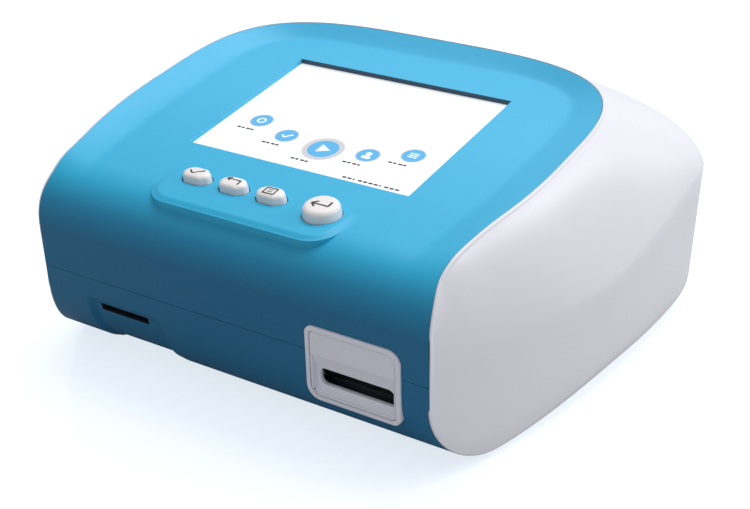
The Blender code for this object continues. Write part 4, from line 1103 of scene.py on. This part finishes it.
def make_camera():
    data = bpy.data.cameras.new("camera")
    camera = bpy.data.objects.new("camera", data)
    bpy.context.scene.collection.objects.link(camera)
    back = Vector((math.sin(CAMERA_AZIMUTH) * math.cos(CAMERA_ELEVATION),
                   -math.cos(CAMERA_AZIMUTH) * math.cos(CAMERA_ELEVATION), math.sin(CAMERA_ELEVATION)))
    right = Vector((math.cos(CAMERA_AZIMUTH), math.sin(CAMERA_AZIMUTH), 0.0))
    up = back.cross(right)
    turn = Matrix((right, up, back)).transposed().to_4x4() @ Matrix.Rotation(CAMERA_ROLL, 4, "Z")
    x, y, z = CAMERA_PLACE
    camera.matrix_world = Matrix.Translation((x * MM, y * MM + CASE_FRONT, z * MM)) @ turn
    data.sensor_width = SENSOR
    data.lens = CAMERA_LENS
    data.clip_start, data.clip_end = 0.02, 20.0
    bpy.context.scene.camera = camera


def make_light(name, place, aim, size, power, color=(1.0, 1.0, 1.0)):
    data = bpy.data.lights.new(name, "AREA")
    data.shape = "RECTANGLE"
    data.size, data.size_y = size
    data.energy = power
    data.color = color
    light = bpy.data.objects.new(name, data)
    light.location = place
    light.rotation_euler = (Vector(aim) - Vector(place)).to_track_quat("-Z", "Y").to_euler()
    bpy.context.scene.collection.objects.link(light)


def make_floor():
    """A wide pale floor. It throws little light back, so that the front stays in shade."""
    bm = bmesh.new()
    bmesh.ops.create_grid(bm, x_segments=1, y_segments=1, size=4.0)
    mesh = bpy.data.meshes.new("floor")
    bm.to_mesh(mesh)
    bm.free()
    floor = bpy.data.objects.new("floor", mesh)
    bpy.context.scene.collection.objects.link(floor)
    material, tree, shader = new_material("floor_white", (0.42, 0.42, 0.42), 0.16)
    shader.inputs["Emission Color"].default_value = (0.86, 0.93, 1.0, 1.0)
    shader.inputs["Emission Strength"].default_value = 0.82
    dull = tree.nodes.new("ShaderNodeBsdfDiffuse")
    dull.inputs["Color"].default_value = (0.50, 0.50, 0.50, 1.0)
    mix = tree.nodes.new("ShaderNodeMixShader")
    tree.links.new(tree.nodes.new("ShaderNodeLightPath").outputs["Is Camera Ray"], mix.inputs[0])
    tree.links.new(dull.outputs[0], mix.inputs[1])
    tree.links.new(shader.outputs[0], mix.inputs[2])
    tree.links.new(mix.outputs[0], tree.nodes["Material Output"].inputs["Surface"])
    mesh.materials.append(material)


def make_studio():
    make_floor()
    world = bpy.data.worlds.new("studio")
    world.use_nodes = True
    world.node_tree.nodes["Background"].inputs["Color"].default_value = (0.95, 0.97, 1.0, 1.0)
    world.node_tree.nodes["Background"].inputs["Strength"].default_value = 0.50
    bpy.context.scene.world = world
    make_light("top_softbox", (0.10, 0.50, 1.35), (0.0, 0.0, 0.05), (1.3, 0.9), 13.5)
    make_light("right_softbox", (1.35, 0.95, 0.75), (0.0, 0.0, 0.05), (0.9, 0.7), 9.0)
    bpy.context.scene.view_settings.view_transform = "Standard"


def main():
    look = make_looks()
    dress_cad_nodes(look)
    make_upper_cover(look)
    make_lower_front(look)
    make_housing(look)
    make_slot(look)
    make_keys(look)
    make_screen(look)
    make_camera()
    make_studio()


main()
